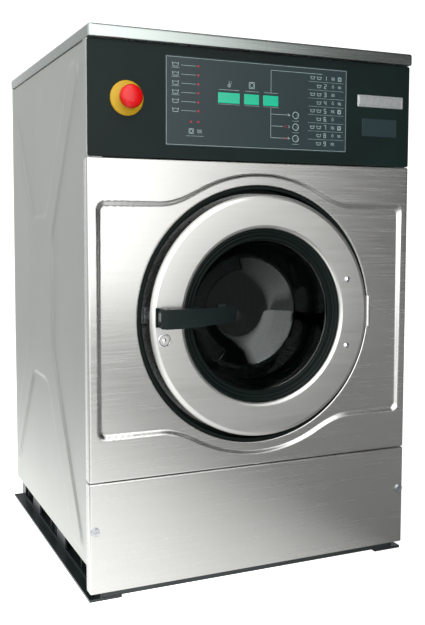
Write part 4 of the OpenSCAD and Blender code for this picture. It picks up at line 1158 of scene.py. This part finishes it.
@dataclass
class Controls:
    """Fascia, overlay, displays, keys and the emergency stop.

    Attributes:
        bottom: The fascia's lower edge.
        key_x: Where the keys stand.
        key_z: Their heights over the fascia's lower edge.
        key_r: Their radius.
        key_y: Their front and back.
        stop: The emergency stop's centre.
        overlay: The overlay's low and high corner.
        badge: Low and high corner of the blank badge.
        card: Low and high corner of the blank type plate under it.
    """

    bottom: float = 780.5
    key_x: float = 71.2
    key_z: tuple = (88.0, 66.4, 44.9)
    key_r: float = 7.5
    key_y: tuple = (-1.3, 3.8)
    stop: tuple = (-259.5, 880.5)
    overlay: tuple = ((-189.0, 803.5), (183.0, 959.5))
    badge: tuple = ((208.0, 893.0), (314.0, 916.0))
    card: tuple = ((219.0, 837.0), (299.0, 871.0))

    def build(self) -> None:
        """Builds and dresses the control panel."""
        softened("control_housing", SHADED_SIDE_STEEL, "cabinet", 0.4)
        softened("control_fascia", FASCIA_PAINT, "cabinet", 1.3)
        softened("control_overlay", OVERLAY_FILM, "cabinet", 0.2)
        softened("display_windows", DISPLAY, "cabinet", 0.5)
        softened("estop_contact_block", HANDLE_PLASTIC, "cabinet", 1.0)
        for name, body, height in zip(("key_select", "key_start", "key_eco"), ("select_key", "start_key", "eco_key"),
                                      self.key_z):
            self.build_key(name, body, self.bottom + height)
        self.build_stop()
        self.build_print()

    def build_key(self, name: str, body: str, z: float) -> None:
        """One round key: a shallow dish inside a raised ring, with a ring of ink on top.

        Args:
            name: The CAD node.
            body: The body that it rides on.
            z: Its centre's height.
        """
        r, front, back = self.key_r, self.key_y[0], self.key_y[1]
        profile = np.array([(0.02, front + 0.75), (r - 3.6, front + 0.6), (r - 2.4, front + 0.2), (r - 1.8, front),
                            (r - 0.7, front), (r - 0.2, front + 0.2), (r, front + 0.7), (r, back), (0.02, back)])
        make(name + "_cap", Shell().surface(lathe(profile, (self.key_x, z), 64, closed=False), closed_v=True),
             KEY_PLASTIC, body, (name,), 0.0, None, 35.0)
        band = np.array([(r - 1.95, front + 0.02), (r - 1.75, front - 0.03), (r - 1.05, front - 0.03),
                         (r - 0.85, front + 0.02)])
        make(name + "_ink", Shell().surface(lathe(band, (self.key_x, z), 64, closed=True), closed_v=True),
             PRINT_WHITE, body, (), 0.0, None, 35.0)

    def build_stop(self) -> None:
        """The emergency stop: a coned yellow plate, a domed red head with a rolled rim, and its stem."""
        x, z = self.stop
        plate = filleted([(8.4, -14.0, 0.0), (14.0, -14.0, 0.8), (15.4, -5.6, 2.5), (28.4, -3.2, 1.2),
                          (30.0, -1.6, 0.7), (30.0, 0.0, 0.0), (8.4, 0.0, 0.0)], closed=False, steps=5)
        make("stop_plate", Shell().surface(lathe(plate, (x, z), 128), closed_v=True), YELLOW_PLASTIC, "cabinet",
             ("estop_plate",), 0.0, None, 50.0)
        dome = np.linspace(0.0, 1.0, 14)
        top = [(18.2 * math.sin(a * np.pi / 2), -34.0 + 4.3 * (1 - math.cos(a * np.pi / 2))) for a in dome]
        rim = filleted([(18.2, -29.7, 0.0), (20.0, -27.6, 2.0), (20.0, -20.4, 1.2), (18.0, -19.0, 1.0),
                        (14.0, -18.6, 0.6), (12.0, -19.0, 0.0), (0.02, -19.0, 0.0)], closed=False, steps=6)
        head = np.vstack([np.maximum(np.array(top), [0.02, -99.0]), rim[1:]])
        make("stop_head_cap", Shell().surface(lathe(head, (x, z), 128, closed=False), closed_v=True), RED_PLASTIC,
             "stop_head", ("estop_head",), 0.0, None, 50.0)
        softened("estop_stem", GREY_PLASTIC, "stop_stem", 0.5)

    def build_print(self) -> None:
        """Marks, scales and digits, laid out over the overlay's height."""
        art = Print()
        for i in range(6):
            z = 944.8 - 15.72 * i
            art.mark(Mark.TUB, -170.0, z, 6.0)
            if i < 4:
                art.line([(-178.0 + 2.4 * k, z - 6.0) for k in (0, 6.5)], 0.5)
            art.line([(-159.0, z - 1.0), (-131.0, z - 1.0)], 0.55)
            art.dot(-126.0, z - 1.0)
        art.dot(-126.0, 846.5)
        art.dot(-140.0, 846.5)
        art.mark(Mark.ROUND, -140.0, 830.0, 4.2)
        art.mark(Mark.WAVES, -124.0, 830.0, 4.6)
        art.line([(-150.0, 821.5), (-116.0, 821.5)], 0.5)
        for x0, x1 in ((-88.0, -44.0), (-36.0, -5.0), (3.0, 35.0)):
            art.line([(x0 + 2.0, 906.5), (x1 - 2.0, 906.5)], 0.55)
            art.line([(x0, 880.6), (x1, 880.6)], 0.4)
        art.mark(Mark.FLAME, -66.0, 918.0, 6.2)
        art.mark(Mark.ROUND, -20.5, 917.5, 5.4)
        art.line([(19.0, 906.5), (19.0, 948.0), (128.0, 948.0)], 0.6)
        art.line([(19.0, 880.0), (19.0, 868.5), (58.5, 868.5)], 0.6)
        art.line([(19.0, 868.5), (19.0, 825.4), (58.5, 825.4)], 0.6)
        art.line([(19.0, 846.9), (44.0, 846.9)], 0.6)
        for z in (868.5, 846.9, 825.4):
            art.line([(55.0, z + 2.4), (59.5, z), (55.0, z - 2.4)], 0.6)
        art.dot(50.0, 846.9, 1.8)
        art.dot(50.0, 825.4, 1.8)
        for z in (858.0, 836.6, 815.2):
            art.line([(64.0, z), (78.4, z)], 0.45)
        tubs = (2, 1, 2, 1, 2, 1, 2, 1, 1)
        for i in range(9):
            z = 941.0 - 15.3 * i
            art.digit(i + 1, 135.0, z, 7.4)
            for k in range(tubs[i]):
                art.mark(Mark.TUB, 121.5 - 14.0 * k, z, 4.6)
            art.mark((Mark.WAVES, Mark.DROP)[i % 2], 152.0, z, 3.8)
            if i % 3 != 2:
                art.mark((Mark.ROUND, Mark.WAVES)[i % 2], 166.5, z, 3.4)
            if i < 8:
                art.line([(98.0, z - 7.6), (176.0, z - 7.6)], 0.35)
        (x0, z0), (x1, z1) = self.overlay
        art.line([(x0 + 2, z0 + 2), (x1 - 2, z0 + 2), (x1 - 2, z1 - 2), (x0 + 2, z1 - 2), (x0 + 2, z0 + 2)], 0.55)
        make("overlay_ink", art.ink, PRINT_WHITE, "cabinet", (), 0.0, (0.0, -1.0, 0.0), 30.0, 0.0005)
        make("indicator_lenses", art.lens, PRINT_RED, "cabinet", (), 0.0, (0.0, -1.0, 0.0), 60.0)
        plate = plate_rings(self.badge[0], self.badge[1], 2.0,
                            np.array([(0.0, 0.0), (0.0, -0.45), (0.25, -0.7), (0.7, -0.8), (3.0, -0.8), (3.3, -0.62),
                                      (3.9, -0.62), (4.2, -0.8), (7.5, -0.8)]))
        make("blank_badge", Shell().bowed(plate), PLATE_SATIN, "cabinet", (), 0.0, None, 25.0)
        card = plate_rings(self.card[0], self.card[1], 2.0,
                           np.array([(0.0, 0.0), (0.0, -0.35), (0.3, -0.55), (1.6, -0.55), (1.8, -0.42), (4.0, -0.42)]))
        make("blank_type_plate", Shell().bowed(card), OVERLAY_FILM, "cabinet", (), 0.0, None, 25.0)


# ---------------------------------------------------------------- tub and drive


@dataclass
class Tub:
    """The floating tub with its cradle, springs, dampers, motor and belt.

    Attributes:
        strut_x: Distance of the struts from the middle.
        strut_y: Their distances from the front face.
        spring_z: The lowest and highest point of a spring's middle line.
        spring_r: Radius of the coil.
        wire_r: Radius of its wire.
        turns: Turns of the coil.
    """

    strut_x: float = 235.0
    strut_y: tuple = (130.0, 372.0)
    spring_z: tuple = (60.4, 185.6)
    spring_r: float = 26.0
    wire_r: float = 4.0
    turns: float = 5.0

    def build(self) -> None:
        """Builds and dresses the tub's pieces."""
        for node, finish, edge in (("tub_shell", TUB_STEEL, 0.8), ("tub_front_plate", TUB_STEEL, 0.8),
                                   ("tub_mouth_seal", GREY_RUBBER, 0.8), ("bearing_housing", IRON, 2.0),
                                   ("bearings", CHROME, 0.6), ("tub_cradle", BASE_PAINT, 1.0),
                                   ("motor_body", MOTOR_PAINT, 2.0), ("drive_belt", BLACK_RUBBER, 0.8),
                                   ("damper_rods", CHROME, 0.5), ("door_catch", ZINC, 0.5),
                                   ("hinge_bracket", DOOR_STEEL, 0.5)):
            softened(node, finish, "tub", edge)
        softened("motor_pulley", ALUMINIUM, "motor_rotor", 0.8)
        self.build_springs()
        self.build_bellows("drain_bellows", (-60.0, 200.0), 38.0, (156.0, 197.75), 5)
        self.build_bellows("fill_hose", (-140.0, 285.0), 16.0, (769.75, 906.0), 10)

    def build_springs(self) -> None:
        """Four coil springs of round wire, wound a little closer towards each end."""
        turn = np.linspace(0.0, 2 * np.pi * self.turns, 181)
        share = smooth_step(turn / turn[-1]) * 0.25 + 0.75 * turn / turn[-1]
        low, high = self.spring_z[0], self.spring_z[1]
        shell = Shell()
        for sx in (-1, 1):
            for depth in self.strut_y:
                path = np.stack([sx * self.strut_x + self.spring_r * np.cos(turn), depth + self.spring_r * np.sin(turn),
                                 low + (high - low) * share], -1)
                shell.bowed(tube(path, self.wire_r, 10))
        spring = make("strut_springs", shell, ZINC, "", ("suspension_springs",), 0.0, None, 70.0)
        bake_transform(spring, "cabinet", "tub", (0.0, 0.0, 0.057), (0.0, 0.0, 0.189))

    def build_bellows(self, node: str, centre: tuple, radius: float, span: tuple, folds: int) -> None:
        """A moulded bellows: a cosine of the height makes the pleats, with a plain cuff at each end.

        Args:
            node: The CAD node.
            centre: x and depth of its axis.
            radius: Its inner radius.
            span: Its low and high end.
            folds: Number of pleats.
        """
        level = np.linspace(span[0], span[1], folds * 10 + 1)
        share = (level - span[0]) / (span[1] - span[0])
        cuff = smooth_step(np.minimum(share, 1 - share) / 0.12)
        out = radius + 3.3 + cuff * (1.6 - 1.9 * np.cos(share * folds * 2 * np.pi))
        outer = np.stack([out, level], -1)
        inner = np.stack([np.full(len(level), radius + 0.4), level], -1)[::-1]
        line = np.vstack([outer, inner, outer[:1]])
        turn = np.linspace(0.0, 2 * np.pi, 72, endpoint=False)
        grid = np.stack([centre[0] + line[:, :1] * np.cos(turn), centre[1] + line[:, :1] * np.sin(turn),
                         line[:, 1:] + 0.0 * turn], -1)
        piece = make(node + "_moulded", Shell().surface(grid, closed_v=True), BLACK_RUBBER, "", (node,), 0.0, None,
                     50.0)
        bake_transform(piece, "cabinet", "tub", (0.0, 0.0, span[0] / 1000.0), (0.0, 0.0, span[1] / 1000.0))


@dataclass
class Drum:
    """The perforated drum with its three lifters, shaft and pulley.

    Attributes:
        radius: Outer radius.
        front: Its front.
        depth: Its length.
        mouth: Radius of its mouth.
        sheet: Wall.
    """

    radius: float = 265.0
    front: float = 47.0
    depth: float = 300.0
    mouth: float = 156.0
    sheet: float = 2.0

    def build(self) -> None:
        """Builds and dresses the drum's pieces."""
        back = self.front + self.depth
        bend = 9.0
        outer = filleted([(self.mouth, self.front, 0.0), (self.radius, self.front, bend), (self.radius, back, bend),
                          (0.02, back, 0.0)], closed=False, steps=9)
        split = np.vstack([np.linspace(a, b, 2 + int(np.linalg.norm(b - a) / 24.0))[:-1]
                           for a, b in zip(outer[:-1], outer[1:])] + [outer[-1:]])
        grid = lathe(split, (0.0, DOOR_Z), 240, closed=False)
        drum = make("drum_sheet", Shell().surface(grid, closed_v=True), DRUM_STEEL, "drum", ("drum_shell",),
                    self.sheet, None, 40.0)
        self.unwrap(drum.data)
        softened("drum_lifters", TUB_STEEL, "drum", 4.0)
        softened("drum_shaft", ZINC, "drum", 1.0)
        softened("drum_pulley", ALUMINIUM, "drum", 1.2)

    def unwrap(self, mesh: bpy.types.Mesh) -> None:
        """A UV map in metres: u is the way round at the wall's radius, v the way along, or inwards on an end.

        Args:
            mesh: The drum's mesh.
        """
        count = len(mesh.vertices)
        spots = np.zeros(count * 3)
        mesh.vertices.foreach_get("co", spots)
        spots = spots.reshape(-1, 3) * 1000.0 - np.array([0.0, FRONT_Y, DOOR_Z])
        loops = np.zeros(len(mesh.loops), np.int32)
        mesh.loops.foreach_get("vertex_index", loops)
        starts = np.zeros(len(mesh.polygons), np.int32)
        sizes = np.zeros(len(mesh.polygons), np.int32)
        mesh.polygons.foreach_get("loop_start", starts)
        mesh.polygons.foreach_get("loop_total", sizes)
        corner = spots[loops]
        angle = np.arctan2(corner[:, 0], corner[:, 2])
        face = np.repeat(np.arange(len(starts)), sizes)
        first = angle[starts][face]
        angle = first + np.mod(angle - first + np.pi, 2 * np.pi) - np.pi
        reach = np.hypot(corner[:, 0], corner[:, 2])
        along = corner[:, 1] + (self.radius - reach)
        layer = mesh.uv_layers.new(name="sheet")
        layer.data.foreach_set("uv", np.stack([angle * self.radius, along], -1).ravel() * 0.001)


# ---------------------------------------------------------------- door


@dataclass
class Door:
    """The round door: steel ring, inner frame, gasket, glass bowl, hinge, lock and handle.

    Attributes:
        ring_r: Outer radius of the ring.
        ring_in: Inner radius of the ring.
        face: The ring's front.
        gasket_in: Inner radius of the gasket.
        bowl: Depth of the glass bowl.
        glass_t: Thickness of the glass.
        lock: The lock's place beside the door's centre.
        bolts: The hinge bolts' x and distance over and under the centre.
    """

    ring_r: float = 224.0
    ring_in: float = 161.0
    face: float = -22.0
    gasket_in: float = 140.0
    bowl: float = 96.0
    glass_t: float = 5.0
    lock: tuple = (-199.0, -35.0)
    bolts: tuple = (176.0, 64.0)

    def build(self) -> None:
        """Builds and dresses the door's pieces."""
        self.build_ring()
        self.build_gasket()
        self.build_glass()
        softened("door_frame", HANDLE_PLASTIC, "door", 0.8)
        softened("hinge_arm", DOOR_STEEL, "door", 0.8)
        softened("door_pins", ZINC, "door", 0.4)
        self.build_bolts()
        self.build_lock()
        self.build_handle()

    def build_ring(self) -> None:
        """The ring: a flat band between two rolled beads, with its edges turned back."""
        out, inner, face = self.ring_r, self.ring_in, self.face
        sheet_and_shaded_holes = filleted([(inner, face + 12.9, 0.0), (inner, face + 4.0, 3.0), (inner + 2.2, face + 1.1, 2.4),
                         (inner + 6.5, face, 4.0), (out - 8.0, face, 5.0), (out - 2.6, face + 2.0, 5.0),
                         (out, face + 6.5, 4.0), (out, face + 10.9, 0.0)], closed=False, steps=7)
        far = filleted([(out - 1.5, face + 10.9, 0.0), (out - 1.5, face + 7.0, 3.0), (out - 3.7, face + 3.4, 3.0),
                        (out - 8.5, face + 1.5, 4.0), (inner + 7.0, face + 1.5, 3.0), (inner + 3.4, face + 2.6, 2.0),
                        (inner + 1.5, face + 5.0, 2.0), (inner + 1.5, face + 12.9, 0.0)], closed=False, steps=5)
        make("door_ring_sheet", Shell().surface(lathe(np.vstack([sheet_and_shaded_holes, far]), (0.0, DOOR_Z), 288), closed_v=True),
             DOOR_STEEL, "door", ("door_ring",), 0.0, None, 45.0)

    def build_gasket(self) -> None:
        """The gasket: three rounded ridges that step back to the glass, and a slot that holds its rim."""
        wide, small, face = self.ring_in - 0.3, self.gasket_in, self.face
        profile = filleted([
            (wide, face + 7.0, 0.6), (wide - 3.4, face + 5.0, 1.6), (wide - 7.0, face + 8.4, 1.2),
            (wide - 8.6, face + 7.2, 1.0), (wide - 12.4, face + 8.4, 1.6), (wide - 13.4, face + 11.4, 0.8),
            (small + 2.6, face + 11.0, 1.4), (small, face + 14.0, 1.6), (small + 0.6, -8.0, 0.8),
            (small + 1.0, -5.3, 0.3),
            (small + 18.3, -5.3, 0.0), (small + 18.3, 1.3, 0.0), (small + 8.0, 1.3, 0.0), (small + 8.0, 11.7, 0.0),
            (wide, 11.7, 0.0)], steps=6)
        make("glass_gasket_moulded", Shell().surface(lathe(profile, (0.0, DOOR_Z), 224), closed_v=True), BLACK_RUBBER,
             "door", ("glass_gasket",), 0.0, None, 50.0)

    def build_glass(self) -> None:
        """The glass bowl: a rim, a tapering wall and a rounded floor, both faces from one set of knees."""
        rim, cone, deep, thick = self.gasket_in + 18.0, self.gasket_in - 14.5, self.bowl, self.glass_t
        front = filleted([(rim, -5.0, 0.0), (self.gasket_in - 1.0, -5.0, 3.0), (cone, 38.0, 14.0),
                          (cone - 16.0, deep - 26.0, 26.0), (cone - 58.0, deep - 1.0, 60.0), (0.02, deep, 0.0)],
                         closed=False, steps=12)
        back = filleted([(0.02, deep + thick, 0.0), (cone - 56.0, deep + thick - 1.0, 60.0),
                         (cone - 11.5, deep - 22.5, 28.0), (cone + thick, 39.0, 14.0), (self.gasket_in + 4.0, 1.0, 3.0),
                         (rim, 1.0, 0.0)], closed=False, steps=12)
        outline = np.vstack([front, back])
        make("door_glass_bowl", Shell().surface(lathe(outline, (0.0, DOOR_Z), 224), closed_v=True), GLASS, "door",
             ("door_glass",), 0.0, None, 60.0)

    def build_bolts(self) -> None:
        """Two domed hinge bolts, each with its washer face and shank."""
        shell = Shell()
        turn = np.linspace(0.0, np.pi / 2, 9)
        dome = [(5.1 * math.sin(a) + 0.02, self.face - 0.9 - 2.7 * math.cos(a)) for a in turn]
        profile = np.array(dome + [(5.6, self.face - 0.7), (5.6, self.face), (3.0, self.face), (3.0, -3.5),
                                   (0.02, -3.5)])
        for dz in (-self.bolts[1], self.bolts[1]):
            shell.surface(lathe(profile, (self.bolts[0], DOOR_Z + dz), 48, closed=False), closed_v=True)
        make("hinge_bolt_heads", shell, CHROME, "door", ("hinge_bolts",), 0.0, None, 40.0)

    def build_lock(self) -> None:
        """The lock barrel: a rolled collar, a black cup that stands for the painted shade in the barrel's hollow, and a
        bright round plug in it.
        """
        x, z = self.lock[0], DOOR_Z + self.lock[1]
        collar = filleted([(12.0, self.face, 0.0), (11.8, self.face - 1.3, 0.5), (10.4, self.face - 1.6, 0.5),
                           (9.8, self.face - 0.4, 0.4), (9.8, self.face + 4.0, 0.3), (9.6, self.face + 6.0, 0.0),
                           (0.02, self.face + 6.0, 0.0), (0.02, self.face + 15.6, 0.0), (9.0, self.face + 15.6, 0.0),
                           (9.0, self.face, 0.0)], steps=5)
        make("lock_collar", Shell().surface(lathe(collar, (x, z), 72), closed_v=True), CHROME, "door",
             ("lock_barrel",), 0.0, None, 40.0)
        # The cup is black rubber: painted shade of the barrel's dark hollow.
        cup = np.array([(9.7, self.face + 0.2), (9.7, self.face + 5.9), (4.4, self.face + 5.9), (4.4, self.face + 3.0),
                        (6.2, self.face + 2.6), (8.6, self.face + 0.4)])
        make("lock_shaded_cup", Shell().surface(lathe(cup, (x, z), 72), closed_v=True), BLACK_RUBBER, "door", (), 0.0,
             None, 40.0)
        turn = np.linspace(0.0, np.pi, 18)
        plug = np.stack([4.7 * np.sin(turn) + 0.02, self.face + 1.8 - 3.2 * np.cos(turn)], -1)
        make("lock_plug", Shell().surface(lathe(plug, (x, z), 48, closed=False), closed_v=True), CHROME, "door", (),
             0.0, None, 60.0)

    def build_handle(self) -> None:
        """Rounds the edges of the bracket, the lever and its hook."""
        softened("handle_bracket", HANDLE_PLASTIC, "door", 1.0)
        softened("latch_hook", ZINC, "handle", 0.6)
        softened("handle_lever", HANDLE_PLASTIC, "handle", 4.0)


# ---------------------------------------------------------------- studio


@dataclass
class Studio:
    """Camera, lamps, floor and surroundings.

    Attributes:
        eye: The camera's place in metres.
        target: What it looks at.
        roll_deg: Turn about its line of sight.
        lens_mm: Focal length on a 36 mm sensor.
        shift: Camera shift.
        sky: Brightness of the surroundings on the left, on the right, and the share of it behind.
        ramp_deg: Where the fall from left to right starts and ends, from straight ahead.
        left_share: Brightness at the far left, as a share of that ahead.
        left_deg: Where that fall ends and starts, from straight ahead.
        paper_glow: Light that the camera sees in the paper, as if lit from behind.
        painted_pool_glow: How bright the pool of light painted into it as glow is, at its left end and in front of the
            machine.
    """

    eye: tuple = (-0.7374, -1.7481, 0.6650)
    target: tuple = (-0.10094, -0.320, 0.55103)
    roll_deg: float = 0.16
    lens_mm: float = 49.78
    shift: tuple = (0.0028, -0.0400)
    sky: tuple = (3.2, 0.02, 0.8)
    ramp_deg: tuple = (13.0, 30.0)
    left_share: float = 0.45
    left_deg: tuple = (-65.0, -12.0)
    paper_glow: float = 1.0
    painted_pool_glow: tuple = (0.4, 1.6)

    def build(self) -> None:
        """Sets up everything round the machine."""
        self.build_camera()
        self.build_floor()
        self.build_world()
        self.lamp("key_window", (-2.6, -2.3, 1.9), (0.0, -0.2, 0.5), (2.0, 2.0), 9.0)
        self.lamp("overhead", (-0.3, -0.6, 3.0), (0.0, 0.0, 0.5), (2.6, 2.6), 9.0)
        self.lamp("right_edge", (2.4, -1.0, 1.1), (0.2, -0.2, 0.5), (0.6, 1.8), 0.6)
        self.lamp("right_wall", (3.4, 1.4, 1.5), (0.33, 0.2, 0.5), (2.4, 2.4), 45.0)

    def build_camera(self) -> None:
        """A shifted view camera."""
        data = bpy.data.cameras.new("view_camera")
        data.lens = self.lens_mm
        data.sensor_width = 36.0
        data.shift_x, data.shift_y = self.shift
        data.clip_start, data.clip_end = 0.05, 60.0
        camera = bpy.data.objects.new("view_camera", data)
        bpy.context.scene.collection.objects.link(camera)
        camera.location = self.eye
        look = (Vector(self.target) - Vector(self.eye)).normalized()
        turned = look.to_track_quat("-Z", "Y").to_matrix().to_4x4()
        roll = Matrix.Rotation(math.radians(self.roll_deg), 4, Vector((0.0, 0.0, 1.0)))
        camera.rotation_euler = (turned @ roll).to_euler()
        bpy.context.scene.camera = camera

    def lamp(self, name: str, place: tuple, target: tuple, size: tuple, power: float) -> None:
        """A soft box that points at a target.

        Args:
            name: Its name.
            place: Where it stands, in metres.
            target: What it points at.
            size: Width and height.
            power: Watts.
        """
        data = bpy.data.lights.new(name, "AREA")
        data.shape = "RECTANGLE"
        data.size, data.size_y = size
        data.energy = power
        lamp = bpy.data.objects.new(name, data)
        bpy.context.scene.collection.objects.link(lamp)
        lamp.location = place
        lamp.rotation_euler = (Vector(target) - Vector(place)).to_track_quat("-Z", "Y").to_euler()

    def build_floor(self) -> None:
        """A plain sweep: the floor curves up far behind. The camera sees it white; mirrors see it darker."""
        run = np.linspace(-6.0, 7.0, 60)
        rise = np.where(run > 4.0, 1.2 * (run - 4.0) ** 2, 0.0)
        across = np.linspace(-8.0, 8.0, 3)
        grid = np.stack([across[None, :] + 0.0 * run[:, None], run[:, None] + 0.0 * across[None, :],
                         rise[:, None] + 0.0 * across[None, :]], -1)
        mesh = bpy.data.meshes.new("studio_floor")
        shell = Shell().surface(grid)
        mesh.from_pydata(shell.points.tolist(), [], shell.faces)
        mesh.shade_smooth()
        paper = bpy.data.materials.new("studio_paper")
        paper.use_nodes = True
        paper.node_tree.nodes.clear()
        place = add(paper.node_tree, "SeparateXYZ", None, {0: add(paper.node_tree, "TexCoord").outputs["Object"]})
        # Painted pool of light: glow that rises from the far left to in front of the machine and fades to the right,
        # seen by every ray.
        near = spread(paper.node_tree, place.outputs["X"], self.painted_pool_glow[0], self.painted_pool_glow[1], -0.9, -0.4)
        far = spread(paper.node_tree, place.outputs["X"], 1.0, 0.0, -0.42, 0.34)
        painted_pool = add(paper.node_tree, "Math", {"operation": "MULTIPLY"}, {0: near, 1: far})
        seen = add(paper.node_tree, "Math", {"operation": "MULTIPLY_ADD", 1: self.paper_glow},
                   {0: add(paper.node_tree, "LightPath").outputs["Is Camera Ray"], 2: painted_pool.outputs[0]})
        shade = add(paper.node_tree, "BsdfPrincipled", {"Base Color": linear("707070"), "Roughness": 0.9,
                                                        "Emission Color": linear("ffffff")},
                    {"Emission Strength": seen.outputs[0]})
        add(paper.node_tree, "OutputMaterial", None, {"Surface": shade.outputs["BSDF"]})
        mesh.materials.append(paper)
        floor = bpy.data.objects.new("studio_floor", mesh)
        bpy.context.scene.collection.objects.link(floor)

    def build_world(self) -> None:
        """Surroundings with a bright wall on the left that falls off to the right; the camera sees them white."""
        world = bpy.data.worlds.new("studio_world")
        bpy.context.scene.world = world
        world.use_nodes = True
        tree = world.node_tree
        tree.nodes.clear()
        way = add(tree, "SeparateXYZ", None, {0: add(tree, "TexCoord").outputs["Generated"]})
        ahead = add(tree, "Math", {"operation": "MULTIPLY", 1: -1.0}, {0: way.outputs["Y"]})
        turn = add(tree, "Math", {"operation": "ARCTAN2"}, {0: way.outputs["X"], 1: ahead.outputs[0]})
        right = spread(tree, turn.outputs[0], self.sky[0], self.sky[1], math.radians(self.ramp_deg[0]),
                       math.radians(self.ramp_deg[1]))
        left = spread(tree, turn.outputs[0], self.left_share, 1.0, math.radians(self.left_deg[0]),
                      math.radians(self.left_deg[1]))
        behind = add(tree, "Math", {"operation": "MULTIPLY"},
                     {0: left, 1: spread(tree, way.outputs["Y"], 1.0, self.sky[2], -0.1, 0.5)}).outputs[0]
        level = add(tree, "Math", {"operation": "MULTIPLY"}, {0: right, 1: behind})
        backdrop = add(tree, "Math", {"operation": "MAXIMUM"},
                       {0: level.outputs[0], 1: add(tree, "LightPath").outputs["Is Camera Ray"]})
        sky = add(tree, "Background", {"Color": linear("ffffff")}, {"Strength": backdrop.outputs[0]})
        add(tree, "OutputWorld", None, {"Surface": sky.outputs["Background"]})
        bpy.context.scene.view_settings.view_transform = "Standard"


def main() -> None:
    """Builds each sub-assembly in order."""
    logging.basicConfig(level=logging.INFO, format="%(message)s", stream=sys.stdout)
    Studio().build()
    LOG.info("studio set up")
    for part in (Base(), TopCover(), FrontSheet(), Rear(), Controls(), Tub(), Drum(), Door()):
        part.build()
        LOG.info("%s built", type(part).__name__)
    for side, node in ((-1, "side_panel_left"), (1, "side_panel_right")):
        SideSheet().build(side, node)
        LOG.info("%s built", node)
    LOG.info("boxes written")


if __name__ == "__main__":
    main()
